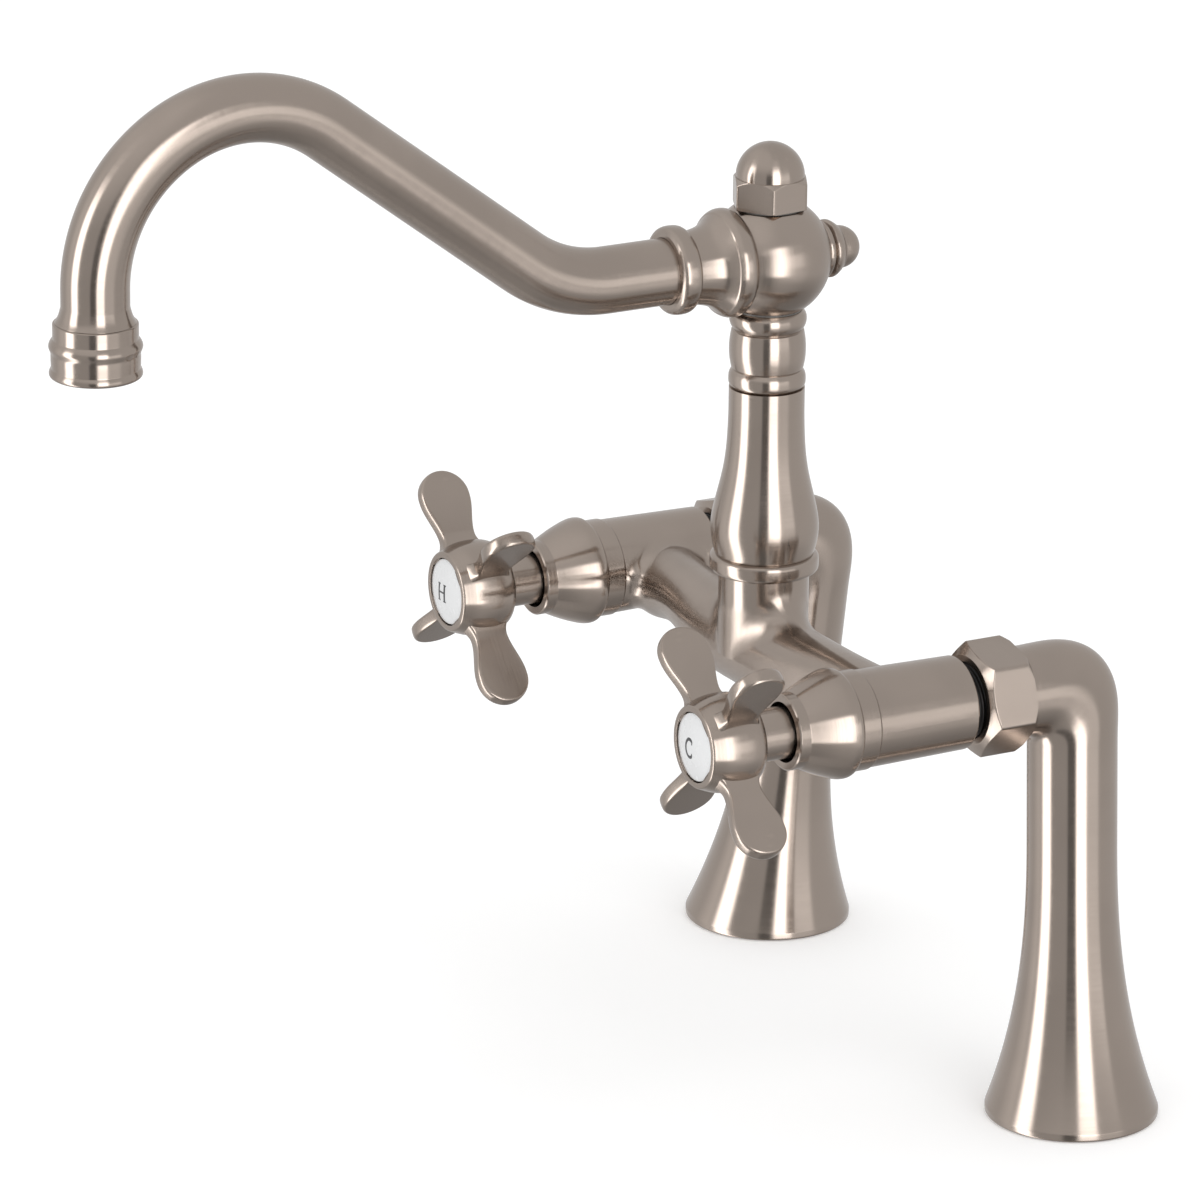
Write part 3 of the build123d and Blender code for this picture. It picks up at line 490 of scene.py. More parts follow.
def add_piece(name, body, shells, slot="nickel", finish=None):
    """Puts shells into one mesh object in metres, with its grain as attributes, and seats it."""
    counts = np.cumsum([0] + [len(shell.points) for shell in shells])
    faces = []
    for shell, start in zip(shells, counts):
        faces += (shell.quads + start).tolist()
        faces += (shell.triangles + start).tolist()
    points = np.concatenate([shell.points for shell in shells]) * MM
    mesh = bpy.data.meshes.new(name)
    mesh.from_pydata(points.tolist(), [], faces)
    mesh.polygons.foreach_set("use_smooth", np.ones(len(faces), bool))
    for attribute, scale in (("grain", 1.0), ("across", MM)):
        values = np.concatenate([getattr(shell, attribute) for shell in shells]) * scale
        layer = mesh.attributes.new(attribute, "FLOAT_VECTOR", "POINT")
        layer.data.foreach_set("vector", values.astype(np.float32).ravel())
    normals = np.concatenate([shell.normals for shell in shells])
    mesh.normals_split_custom_set_from_vertices(normals.tolist())
    mesh.update()
    mesh.materials.append(material(finish or slot))
    piece = add_object(name, mesh)
    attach(piece, body)
    return piece


def add_skin(replaced, body, *shells, slot="nickel", name=None):
    """Puts shells in the place of one of the frame's nodes."""
    piece = add_piece(name or f"{replaced}_skin", body, shells, slot)
    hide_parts(replaced)


def angles(count):
    """Even angles around a turned piece."""
    return np.arange(count) * TURN / count


def carried(line, radius, distance, angle):
    """Places a grid of radii and distances around a line: centre + radius * (cos * side + sin * other)."""
    centre, side, other = (part.reshape(distance.shape + (3,)) for part in line.frames(distance.ravel()))
    return centre + radius[..., None] * (np.cos(angle)[..., None] * side + np.sin(angle)[..., None] * other)


def swept(line, rows, angle, closed=True, reshape=None):
    """A skin with a ring of vertices for each (radius, distance) row; reshape may change the radii."""
    run, radius, distance, theta = np.broadcast_arrays(
        lengths_along(rows)[:, None], rows[:, :1], rows[:, 1:], angle,
    )
    if reshape:
        radius = reshape(radius, distance, theta)
    across = np.stack((run, radius * np.cos(theta), radius * np.sin(theta)), -1)
    return Shell(carried(line, radius, distance, theta), across, closed)


def turned(line, profile, closed=True, softness=None, angle=None, reshape=None, longest=2.5):
    """A skin of an outline whose corners are eased, carried around a line."""
    sizes = bpy.context.scene.filler_sizes
    softness = sizes.edge_softness / MM if softness is None else softness
    angle = angles(sizes.around) if angle is None else angle
    return swept(line, softened(profile, closed, softness, longest), angle, closed, reshape)


# Node helpers

FLOAT = "NodeSocketFloat"
VECTOR = "NodeSocketVector"


def group(name, inputs, outputs):
    """A shader node group with named sockets, and its two end nodes."""
    tree = bpy.data.node_groups.new(name, "ShaderNodeTree")
    for label, kind, default in inputs:
        socket = tree.interface.new_socket(label, in_out="INPUT", socket_type=kind)
        if default is not None:
            socket.default_value = default
    for label, kind in outputs:
        tree.interface.new_socket(label, in_out="OUTPUT", socket_type=kind)
    return tree, tree.nodes.new("NodeGroupInput"), tree.nodes.new("NodeGroupOutput")


def feed(tree, value, socket):
    """Links an output to a socket, or sets the socket's own value."""
    if isinstance(value, bpy.types.NodeSocket):
        tree.links.new(value, socket)
    else:
        socket.default_value = value


def fill(tree, made, **named):
    """Links or sets a node's inputs by name."""
    for key, value in named.items():
        feed(tree, value, made.inputs[key.replace("_", " ")])


def node(tree, kind, *ordered, settings=None, **named):
    """A new node with settings, and with its inputs linked or set in their order and by name."""
    made = tree.nodes.new(kind)
    for key, value in (settings or {}).items():
        setattr(made, key, value)
    for socket, value in zip(made.inputs, ordered):
        feed(tree, value, socket)
    fill(tree, made, **named)
    return made


def math_node(tree, operation, *values, clamp=False):
    """One step of arithmetic on numbers."""
    settings = {"operation": operation, "use_clamp": clamp}
    return node(tree, "ShaderNodeMath", *values, settings=settings).outputs[0]


def vector_node(tree, operation, *values, **named):
    """One step of arithmetic on vectors."""
    made = node(tree, "ShaderNodeVectorMath", *values, settings={"operation": operation}, **named)
    return made.outputs["Value" if operation == "DOT_PRODUCT" else "Vector"]


def xyz_node(tree, x=0.0, y=0.0, z=0.0):
    """A vector put together from three numbers."""
    return node(tree, "ShaderNodeCombineXYZ", x, y, z).outputs[0]


def ramp_node(tree, value, low, high, out_low=0.0, out_high=1.0):
    """A number moved from one range to another, smoothly and held at its ends."""
    ends = (low, high, out_low, out_high)
    settings = {"interpolation_type": "SMOOTHSTEP"}
    return node(tree, "ShaderNodeMapRange", value, *ends, settings=settings).outputs[0]


def noise_node(tree, vector, scale, detail=2.0, roughness=0.5):
    """A cloudy pattern of numbers about one half."""
    return node(
        tree, "ShaderNodeTexNoise", Vector=vector, Scale=scale, Detail=detail, Roughness=roughness
    ).outputs[0]


def mix_node(tree, kind, share, first, second):
    """A colour (kind RGBA) or a vector (kind VECTOR) part of the way from one to another."""
    low, high, out = {"RGBA": (6, 7, 2), "VECTOR": (4, 5, 1)}[kind]
    made = node(tree, "ShaderNodeMix", share, settings={"data_type": kind})
    feed(tree, first, made.inputs[low])
    feed(tree, second, made.inputs[high])
    return made.outputs[out]


def group_node(tree, name, *ordered):
    """One of the shared groups, placed in a tree, with its inputs in their order."""
    return node(tree, "ShaderNodeGroup", *ordered, settings={"node_tree": bpy.data.node_groups[name]})


# Effects that several finishes share

def brushed_lines():
    """Fine lines left by brushing: noise drawn out along the grain, fiftyfold unless told otherwise."""
    tree, given, made = group(
        "brushed_lines",
        [("Across", VECTOR, None), ("Lines", FLOAT, 8000.0), ("Stretch", FLOAT, 0.02)],
        [("Height", FLOAT), ("Streak", FLOAT)],
    )
    across, lines, stretch = given.outputs[:3]
    stretched = vector_node(tree, "MULTIPLY", across, xyz_node(tree, 1.0, stretch, stretch))
    scaled = vector_node(tree, "SCALE", stretched, Scale=lines)
    fine = noise_node(tree, scaled, 1.0, 3.0, 0.6)
    coarse = noise_node(tree, scaled, 0.23, 1.0)
    height = math_node(tree, "ADD", fine, math_node(tree, "MULTIPLY", coarse, 0.6))
    fill(tree, made, Height=height, Streak=ramp_node(tree, coarse, 0.35, 0.65))


def handled_clouds():
    """Faint clouds of wear and wiping on a surface, at two sizes."""
    tree, given, made = group(
        "handled_clouds", [("Vector", VECTOR, None)], [("Cloud", FLOAT), ("Patch", FLOAT)],
    )
    small = noise_node(tree, given.outputs[0], 180.0, 3.0, 0.55)
    large = noise_node(tree, given.outputs[0], 38.0)
    fill(tree, made, Cloud=ramp_node(tree, small, 0.3, 0.7), Patch=ramp_node(tree, large, 0.35, 0.65))


def edge_wear():
    """Masks for edges, lightened partly as rubbed wear and partly as a painted highlight, and for creases, which
    are made darker, from how far the surface stands proud.
    """
    tree, given, made = group(
        "edge_wear", [("Reach", FLOAT, 0.06)], [("Edge", FLOAT), ("Crease", FLOAT)],
    )
    proud = node(tree, "ShaderNodeNewGeometry").outputs["Pointiness"]
    high = math_node(tree, "ADD", given.outputs["Reach"], 0.5)
    low = math_node(tree, "SUBTRACT", 0.5, given.outputs["Reach"])
    fill(tree, made, Edge=ramp_node(tree, proud, 0.51, high), Crease=ramp_node(tree, proud, 0.49, low))


# Where the bridge's polishing changes its way: from arm to barrel by the distance from the middle,
# and from arm to boss by the height
BARREL_GRAIN = (58.0, 62.0)
BOSS_GRAIN = (132.0, 138.0)


def casting_grain():
    """Polishing directions of the bridge: round each barrel, round the arm, and round the boss.

    The direction round an axis is the axis crossed with the place, and the number across the lines is
    the place along that axis.
    """
    tree, given, made = group(
        "casting_grain", [("Place", VECTOR, None)], [("Grain", VECTOR), ("Across", VECTOR)],
    )
    place = given.outputs[0]
    x, y, z = node(tree, "ShaderNodeSeparateXYZ", place).outputs
    valve = math_node(tree, "MULTIPLY", math_node(tree, "SIGN", x), VALVE_X["cold"] * MM)
    above = math_node(tree, "SUBTRACT", z, VALVE_HEIGHT * MM)
    from_post = math_node(tree, "ADD", y, POST_FORWARD * MM)
    on_barrel = ramp_node(tree, math_node(tree, "ABSOLUTE", x), *(edge * MM for edge in BARREL_GRAIN))
    on_boss = ramp_node(tree, z, *(edge * MM for edge in BOSS_GRAIN))

    def less(value):
        """The same number with its sign changed."""
        return math_node(tree, "MULTIPLY", value, -1.0)

    def chosen(arm, boss, barrel):
        """Arm, boss or barrel by where the place lies."""
        return mix_node(tree, "VECTOR", on_barrel, mix_node(tree, "VECTOR", on_boss, arm, boss), barrel)

    grain = chosen(
        xyz_node(tree, y=less(above), z=from_post),
        xyz_node(tree, x=less(from_post), y=x),
        xyz_node(tree, x=above, z=less(math_node(tree, "SUBTRACT", x, valve))),
    )
    across = chosen(place, xyz_node(tree, z, x, y), xyz_node(tree, y, x, z))
    fill(tree, made, Grain=grain, Across=across)


# Finishes

# Edges are lightened partly as rubbed wear and partly as a painted highlight, and creases are made darker: how
# much of each, their shades and the gloss on edges
EDGE_RUBBED_AND_HIGHLIT = 0.15
RUBBED_AND_HIGHLIGHT_SHADE = 1.3
RUBBED_GLOSS = -0.02
CREASE_HIDDEN = 0.7
CREASE_SHADE = 0.4
STREAK_GLOSS = 0.015
CLOUD_GLOSS = 0.01
BRUSHING_DEPTH = 0.0006
TOOLING_DEPTH = 0.002


def new_material(name):
    """A material with a shader and its output, ready for nodes."""
    made = bpy.data.materials.new(f"filler_{name}")
    made.use_nodes = True
    return made, made.node_tree, made.node_tree.nodes["Principled BSDF"]


def attribute(tree, name):
    """A vector that the piece's own mesh carries."""
    settings = {"attribute_type": "GEOMETRY", "attribute_name": name}
    return node(tree, "ShaderNodeAttribute", settings=settings).outputs["Vector"]


def object_place(tree):
    """Object coordinates, which are the frame's own place in metres."""
    return node(tree, "ShaderNodeTexCoord").outputs["Object"]


def bump(tree, height, depth):
    """A normal tipped by a height pattern of a depth in millimetres."""
    return node(tree, "ShaderNodeBump", Strength=1.0, Distance=depth * MM, Height=height).outputs[0]


def shade(colour, factor):
    """A colour made lighter or darker, with its alpha."""
    return tuple(min(part * factor, 1.0) for part in colour) + (1.0,)


def clouded(tree, clouds, mask, colour, darker, lighter):
    """A colour that drifts between a darker and a lighter shade with one of the clouds."""
    return mix_node(tree, "RGBA", clouds.outputs[mask], shade(colour, darker), shade(colour, lighter))


def nickel_material(name, grain_of, worn_and_highlit):
    """Brushed nickel: stretched highlights, fine lines, wiped clouds, edges lightened by rubbed wear and a painted
    highlight, and darker creases.
    """
    finish = bpy.context.scene.filler_finish
    tree, shader = new_material(name)[1:]
    grain, across = grain_of(tree)
    lines = group_node(tree, "brushed_lines", across)
    clouds = group_node(tree, "handled_clouds", object_place(tree))
    plate = clouded(tree, clouds, "Patch", finish.nickel, 0.97, 1.03)
    base = finish.nickel_roughness
    streaked = ramp_node(tree, lines.outputs["Streak"], 0.0, 1.0, base - STREAK_GLOSS, base + STREAK_GLOSS)
    drift = ramp_node(tree, clouds.outputs["Cloud"], 0.0, 1.0, -CLOUD_GLOSS, CLOUD_GLOSS)
    rough = math_node(tree, "ADD", streaked, drift)
    if worn_and_highlit:
        # Painted highlight with rubbed wear on the edges, and darker creases
        edge, crease = group_node(tree, "edge_wear").outputs
        rubbed_and_highlit = math_node(tree, "MULTIPLY", edge, EDGE_RUBBED_AND_HIGHLIT)
        hidden = math_node(tree, "MULTIPLY", crease, CREASE_HIDDEN)
        plate = mix_node(tree, "RGBA", rubbed_and_highlit, plate, shade(finish.nickel, RUBBED_AND_HIGHLIGHT_SHADE))
        plate = mix_node(tree, "RGBA", hidden, plate, shade(finish.nickel, CREASE_SHADE))
        rough = math_node(tree, "ADD", rough, math_node(tree, "MULTIPLY", edge, RUBBED_GLOSS))
    to_world = {"vector_type": "VECTOR", "convert_from": "OBJECT", "convert_to": "WORLD"}
    fill(
        tree, shader, Base_Color=plate, Metallic=1.0, Roughness=rough,
        Anisotropic=finish.nickel_grain, Anisotropic_Rotation=0.25,
        Tangent=node(tree, "ShaderNodeVectorTransform", grain, settings=to_world).outputs[0],
        Normal=bump(tree, lines.outputs["Height"], BRUSHING_DEPTH),
    )


def grain_carried(tree):
    """Grain of a piece that was made here, from its own attributes."""
    return attribute(tree, "grain"), attribute(tree, "across")


def grain_cast(tree):
    """Grain of the bridge, from its place."""
    return group_node(tree, "casting_grain", object_place(tree)).outputs[:2]


def plain_material(name, colour, shades, gloss, mask="Patch"):
    """A material whose colour and roughness drift a little with the clouds of handling."""
    tree, shader = new_material(name)[1:]
    clouds = group_node(tree, "handled_clouds", object_place(tree))
    fill(
        tree, shader, Base_Color=clouded(tree, clouds, mask, colour, *shades),
        Roughness=ramp_node(tree, clouds.outputs["Cloud"], 0.0, 1.0, *gloss),
    )
    return tree, shader


def machined_material(name, colour, roughness, metallic=1.0):
    """Turned metal with faint tool lines and clouds."""
    tree, shader = plain_material(name, colour, (0.9, 1.08), (roughness - 0.05, roughness + 0.05))
    lines = group_node(tree, "brushed_lines", object_place(tree), 3000.0, 0.3)
    fill(tree, shader, Metallic=metallic, Normal=bump(tree, lines.outputs["Height"], TOOLING_DEPTH))


def moulded_material(name, colour, roughness, skin_depth):
    """Rubber or plastic with a fine moulded skin."""
    tree, shader = plain_material(name, colour, (0.88, 1.1), (roughness - 0.06, roughness + 0.06))
    skin = noise_node(tree, object_place(tree), 4000.0)
    fill(tree, shader, Normal=bump(tree, skin, skin_depth))


def porcelain_material(name, colour):
    """Glazed porcelain: white body under a clear coat."""
    tree, shader = plain_material(name, colour, (0.98, 1.02), (0.22, 0.3))
    fill(tree, shader, Coat_Weight=0.8, Coat_Roughness=0.06)


def ink_material(name, colour):
    """Fired black ink, a little uneven."""
    tree, shader = plain_material(name, colour, (0.8, 1.6), (0.3, 0.4), "Cloud")
    fill(tree, shader, Coat_Weight=0.6)


def make_materials():
    """Builds the shared groups once, then every finish of the filler."""
    finish = bpy.context.scene.filler_finish
    brushed_lines()
    handled_clouds()
    edge_wear()
    casting_grain()
    nickel_material("nickel", grain_carried, True)
    nickel_material("nickel_cast", grain_cast, False)
    machined_material("raw_brass", (0.72, 0.52, 0.26), 0.3)
    # The tail threads are near black, partly as painted shade of the gap between nut and barrel
    machined_material("dark_thread", tuple(finish.thread), 0.42, 0.6)
    machined_material("screw_steel", (0.58, 0.58, 0.58), 0.3)
    porcelain_material("porcelain", tuple(finish.porcelain))
    porcelain_material("valve_ceramic", (0.82, 0.80, 0.76))
    ink_material("ink", tuple(finish.ink))
    moulded_material("rubber", (0.025, 0.025, 0.025), 0.6, 0.01)
    # The slip washers are darkened to grey-brown to show the dark seam line between the parts: painted shade
    moulded_material("slip_washer", (0.14, 0.13, 0.12), 0.4, 0.004)
    moulded_material("aerator_plastic", (0.55, 0.56, 0.56), 0.45, 0.006)


# Risers

def riser_side(side):
    """Left of the middle for hot, right for cold."""
    return math.copysign(1.0, VALVE_X[side])


class RiserLine:
    """The riser's line: up the foot, along the leaning leg, round the elbow and level to the union.

    Below zero it runs straight up through the foot's lip. On the flare the sections turn from level to
    square with the leg. Round the elbow they pass through its inner pivot, and their height grows by a
    squared sine, so that the back of the elbow swells. Distances are measured up the leg's line.
    """

    def __init__(self, side):
        sign = riser_side(side)
        self.foot = np.array((sign * self.inlet(), 0, FOOT_LIP))
        corner = np.array((VALVE_X[side], ELBOW_SETBACK, VALVE_HEIGHT))
        self.up = unit(corner - self.foot)
        down = -self.up
        angle = math.acos(FORWARD @ down)
        self.reach = RISER_RADIUS + ELBOW_INNER
        self.pivot = corner + (FORWARD + down) * self.reach / math.sin(angle)
        across = unit(np.cross(FORWARD, down))
        self.last = unit(np.cross(across, down))
        self.first = unit(np.cross(FORWARD, across))
        self.flare_end = (FLARE_HEIGHT - FOOT_LIP) / self.up[2]
        self.leg_end = (self.pivot + self.last * self.reach - self.foot) @ self.up
        self.bend = math.acos(np.clip(self.first @ self.last, -1, 1))
        self.elbow_end = self.leg_end + self.bend * self.reach
        self.level_start = self.pivot + self.first * self.reach

    @staticmethod
    def inlet():
        """Half the spacing of the two inlets."""
        return (high_of("cold_inlet_bush", 0) + low_of("cold_inlet_bush", 0)) / 2

    def forward_to(self, distance):
        """Line distance at a place that lies this far forward of the feet."""
        return self.elbow_end + distance + self.level_start[1]

    def frames(self, s):
        """Centre, first and second cross directions at each distance."""
        share = np.clip(s / self.flare_end, 0, 1)[:, None]
        tilt = unit((1 - share) * UP + share * self.up)
        centre = self.foot + s[:, None] * np.where(s[:, None] < 0, UP, self.up)
        side = unit(self.last - (tilt @ self.last)[:, None] * tilt)
        other = np.cross(tilt, side)

        turn = np.clip((s - self.leg_end) / (self.elbow_end - self.leg_end), 0, 1)[:, None]
        outward = np.sin((1 - turn) * self.bend) * self.last + np.sin(turn * self.bend) * self.first
        outward = unit(outward / math.sin(self.bend))
        height = RISER_RADIUS + ELBOW_BULGE / 2 * np.sin(math.pi * turn) ** 2
        bent_centre = self.pivot + outward * (ELBOW_INNER + height)
        bent_side = outward * height / RISER_RADIUS
        bent_other = np.tile(np.cross(self.up, self.last), (len(s), 1))

        past = np.maximum(s - self.elbow_end, 0)[:, None]
        on_elbow = (s > self.leg_end)[:, None]
        centre = np.where(on_elbow, bent_centre + past * FORWARD, centre)
        side = np.where(on_elbow, bent_side, side)
        other = np.where(on_elbow, bent_other, other)
        return centre, side, other


def riser_outline(line):
    """Foot lip, flare, leg, union neck and flange, and back through the waterway and the foot's hollow."""
    share = np.linspace(0, 1, 160)
    flare = np.stack((
        RISER_RADIUS + (FOOT_RADIUS - RISER_RADIUS) * (1 - share) ** FLARE_POWER,
        share * line.flare_end,
    ), 1)
    level_end = line.forward_to(NUT_BACK) - 0.3
    flange_back = line.forward_to(NUT_BACK + NUT_WEB)
    flange_front = flange_back + FLANGE_THICKNESS
    bush_top = BUSH_LENGTH - FOOT_LIP
    cavity_top = CAVITY_HEIGHT - FOOT_LIP
    bush_hole = BUSH_RADIUS + 0.05
    bore = RISER_RADIUS - RISER_WALL
    return outline(
        (FOOT_RADIUS - FOOT_WALL, -FOOT_LIP),
        (FOOT_RADIUS - FOOT_LIP_RADIUS, -FOOT_LIP),
        arc((FOOT_RADIUS - FOOT_LIP_RADIUS, FOOT_LIP_RADIUS - FOOT_LIP), FOOT_LIP_RADIUS, -90, 0),
        flare,
        (RISER_RADIUS, level_end),
        (NECK_RADIUS, level_end),
        (NECK_RADIUS, flange_back),
        (FLANGE_RADIUS, flange_back),
        (FLANGE_RADIUS, flange_front),
        (UNION_BORE, flange_front),
        (UNION_BORE, line.elbow_end),
        (bore, line.leg_end),
        (bore, bush_top),
        (bush_hole, bush_top),
        (bush_hole, cavity_top),
        (BUSH_RADIUS + 1.2, cavity_top),
    )


class FILLER_OT_risers(bpy.types.Operator):
    """Builds the two risers, from flared foot to union flange"""

    bl_idname = "filler.risers"
    bl_label = "Risers"

    def execute(self, context):
        for side in SIDES:
            line = RiserLine(side)
            add_skin(f"{side}_riser", "deck_body", turned(line, riser_outline(line), longest=0.8))
        return {"FINISHED"}


# Unions

def face_centres(turn_degrees):
    """Angles to the middles of a hexagon's six faces."""
    return math.radians(turn_degrees + 30) + np.arange(6) * math.pi / 3


def hexagon_angles(turn_degrees):
    """Angles that crowd towards the six corners: each side's sine-spaced share of sixty degrees."""
    share = np.linspace(-1, 1, 45)[:-1]
    local = np.sin(share * math.pi / 2) * math.pi / 6
    return (face_centres(turn_degrees)[:, None] + local).ravel()


def hexagon_radius(theta, flat_radius, turn_degrees):
    """Radius of a hexagon with eased corners: flat radius over a high-power mean of six cosines."""
    power = 70
    toward = np.maximum(np.cos(theta[..., None] - face_centres(turn_degrees)), 0)
    return flat_radius / (toward ** power).sum(-1) ** (1 / power)


def softer_least(first, second, ease):
    """The lesser of two numbers, eased where they are nearly the same."""
    least = np.minimum(first, second)
    return least - ease * np.log1p(np.exp(-np.abs(first - second) / ease))


def hexagonal(line, profile, flat_radius, turn_degrees, beyond, ease, closed=True):
    """A turned blank with six flats, cut only where it stands beyond a radius."""
    def cut(radius, distance, theta):
        """The lesser of the blank's radius and the hexagon's."""
        flats = hexagon_radius(theta, flat_radius, turn_degrees)
        return np.where(radius > beyond, softer_least(radius, flats, ease), radius)

    return turned(
        line, profile, closed, softness=HEXAGON_SOFTNESS, angle=hexagon_angles(turn_degrees), reshape=cut,
        longest=0.35,
    )


def nut_outline():
    """Blank of a union nut: chamfered outside, web behind, room for the flange and a mouth in front."""
    corner = NUT_FLAT_RADIUS / math.cos(math.pi / 6)
    hole = NECK_RADIUS + 0.1
    room = FLANGE_RADIUS + 0.5
    room_front = TAIL_BACK - 0.4
    room_back = NUT_BACK + NUT_WEB
    slant = NUT_FRONT_CHAMFER * math.tan(math.pi / 6)
    return outline(
        (hole, NUT_BACK),
        (corner - NUT_BACK_CHAMFER, NUT_BACK),
        (corner, NUT_BACK + NUT_BACK_CHAMFER),
        (corner, NUT_FRONT - slant),
        (corner - NUT_FRONT_CHAMFER, NUT_FRONT),
        (NUT_MOUTH, NUT_FRONT),
        (NUT_MOUTH, room_front),
        (room, room_front),
        (room, room_back),
        (hole, room_back),
    )


def tail_outline():
    """Threaded tail: thread outside, smaller spigot in the barrel, bore right through."""
    socket_end = BARREL_BACK + TAIL_SOCKET_DEPTH
    return outline(
        (TAIL_BORE, TAIL_BACK),
        (TAIL_THREAD, TAIL_BACK),
        (TAIL_THREAD, BARREL_BACK),
        (TAIL_SOCKET, BARREL_BACK),
        (TAIL_SOCKET, socket_end),
        (TAIL_BORE, socket_end),
    )


def thread_cut(pitch, depth):
    """A reshape that cuts a helical thread: depth times a raised cosine of distance less turn share."""
    run_out = 0.8
    front = BARREL_BACK - 0.4

    def cut(radius, distance, theta):
        """The radius less the groove, which fades out at both ends of the thread."""
        ridge = 0.5 - 0.5 * np.cos(TURN * distance / pitch - theta)
        starts = np.clip((distance - TAIL_BACK) / run_out, 0, 1)
        ends = np.clip((front - distance) / run_out, 0, 1)
        return np.where(radius > TAIL_SOCKET + 1, radius - depth * ridge * (ends * starts), radius)
    return cut


def dense(profile, step=0.25):
    """An outline with points close enough together for a pattern along it."""
    return evenly(np.concatenate((profile, profile[:1])), step)[:-1]


class FILLER_OT_unions(bpy.types.Operator):
    """Builds the hexagon nuts and the threaded tails behind the barrels"""

    bl_idname = "filler.unions"
    bl_label = "Unions"

    def execute(self, context):
        sizes = context.scene.filler_sizes
        thread = thread_cut(sizes.thread_pitch / MM, sizes.thread_depth / MM)
        for side in SIDES:
            line = valve_line(side)
            turn = NUT_TURN[side]
            nut = hexagonal(line, nut_outline(), NUT_FLAT_RADIUS, turn, NUT_CUT_FROM, NUT_EASE)
            add_skin(f"{side}_union_nut", "deck_body", nut)
            tail = swept(line, dense(tail_outline()), angles(sizes.around), reshape=thread)
            # The near-black thread finish is partly painted shade of the gap between nut and barrel
            add_skin(f"{side}_union_tail", "deck_body", tail, slot="dark_thread")
        return {"FINISHED"}


# Bonnets

def bonnet_outline():
    """Slim band, round bead, concave cone, mouth lip and the hollow for the cartridge."""
    band, bead, lip, mouth, thread = 14.3, 15.7, 10.9, 8.6, 12.05
    edge = 0.4
    bead_back = BARREL_FRONT + 5.8
    thread_front = BARREL_FRONT + 12.0
    front = BARREL_FRONT + 24.3
    cone_front = front - 3.9

    def cone(share):
        """A distance part of the way along the bead and the cone."""
        return bead_back + share * (cone_front - bead_back)

    return outline(
        (thread, BARREL_FRONT),
        (band - edge, BARREL_FRONT),
        (band, BARREL_FRONT + 0.55),
        (band, bead_back),
        [(bead - 0.3, cone(0.06)), (bead, cone(0.15)), (bead - 0.6, cone(0.36)),
         (0.4 * bead + 0.6 * lip, cone(0.76)), (lip + 0.25, cone_front)],
        (lip, cone_front + 0.5),
        (lip, front - edge),
        (lip - edge, front),
        (mouth, front),
        (mouth, cone_front),
        (thread, thread_front),
    )


class FILLER_OT_bonnets(bpy.types.Operator):
    """Builds the two covers in front of the barrels"""

    bl_idname = "filler.bonnets"
    bl_label = "Bonnets"

    def execute(self, context):
        for side in SIDES:
            bonnet = turned(valve_line(side), bonnet_outline(), softness=POLISHED_SOFTNESS)
            add_skin(f"{side}_bonnet", "deck_body", bonnet)
        return {"FINISHED"}


# Post

def ring_outline():
    """Round-edged ring under the column."""
    radius, inner = 15.7, 9.05
    middle = (BOSS_TOP + RING_TOP) / 2
    return outline(
        (inner, BOSS_TOP),
        (radius - 1.6, BOSS_TOP),
        [(radius - 0.4, BOSS_TOP + 0.6), (radius, middle), (radius - 0.4, RING_TOP - 0.6),
         (radius - 1.6, RING_TOP)],
        (inner, RING_TOP),
    )


def column_outline():
    """Bottle-shaped column with its spigot below and its socket above."""
    base, belly, top = 14.3, 15.55, 10.85
    taper = belly - top
    spigot_low = BOSS_TOP - COLUMN_SPIGOT_DEPTH
    socket_low = COLUMN_TOP - COLUMN_SOCKET_DEPTH

    def up(share):
        """A height part of the way up the column."""
        return RING_TOP + share * (COLUMN_TOP - RING_TOP)

    return outline(
        (POST_BORE, spigot_low),
        (COLUMN_SPIGOT, spigot_low),
        (COLUMN_SPIGOT, RING_TOP),
        (base, RING_TOP),
        [(belly, up(0.15)), (belly - 0.2 * taper, up(0.29)), (top + 0.27 * taper, up(0.51)),
         (top, up(0.85))],
        (top, COLUMN_TOP),
        (COLUMN_SOCKET, COLUMN_TOP),
        (COLUMN_SOCKET, socket_low),
        (POST_BORE, socket_low),
    )


def neck_outline():
    """Two beads with a small barrel between them, screwed into the column."""
    bead, groove, barrel = 11.05, 9.85, 10.95
    spigot_low = COLUMN_TOP - NECK_SPIGOT_DEPTH
    socket_low = NECK_TOP - NECK_SOCKET_DEPTH

    def up(share):
        """A height part of the way up the neck."""
        return COLUMN_TOP + share * (NECK_TOP - COLUMN_TOP)

    return outline(
        (WATERWAY, spigot_low),
        (NECK_SPIGOT, spigot_low),
        (NECK_SPIGOT, COLUMN_TOP),
        (bead - 1.1, COLUMN_TOP),
        [(bead - 0.3, up(0.035)), (bead, up(0.115)), (bead - 0.3, up(0.19)), (bead - 1.0, up(0.235))],
        (groove, up(0.24)),
        (barrel - 0.65, up(0.255)),
        [(barrel - 0.15, up(0.37)), (barrel, up(0.5)), (barrel - 0.15, up(0.62)), (barrel - 0.6, up(0.735))],
        (groove, up(0.75)),
        (groove + 0.35, up(0.77)),
        [(bead - 0.35, up(0.81)), (bead, up(0.88)), (bead - 0.3, up(0.95)), (bead - 1.2, NECK_TOP)],
        (SPINDLE_BORE, NECK_TOP),
        (SPINDLE_BORE, socket_low),
        (WATERWAY, socket_low),
    )


class FILLER_OT_post(bpy.types.Operator):
    """Builds the ring, the column and the beaded neck of the post"""

    bl_idname = "filler.post"
    bl_label = "Post"

    def execute(self, context):
        for name, profile in (
            ("post_base_ring", ring_outline()),
            ("post_column", column_outline()),
            ("post_neck", neck_outline()),
        ):
            add_skin(name, "deck_body", turned(post_line(), profile, softness=POLISHED_SOFTNESS))
        return {"FINISHED"}


# Ball hub

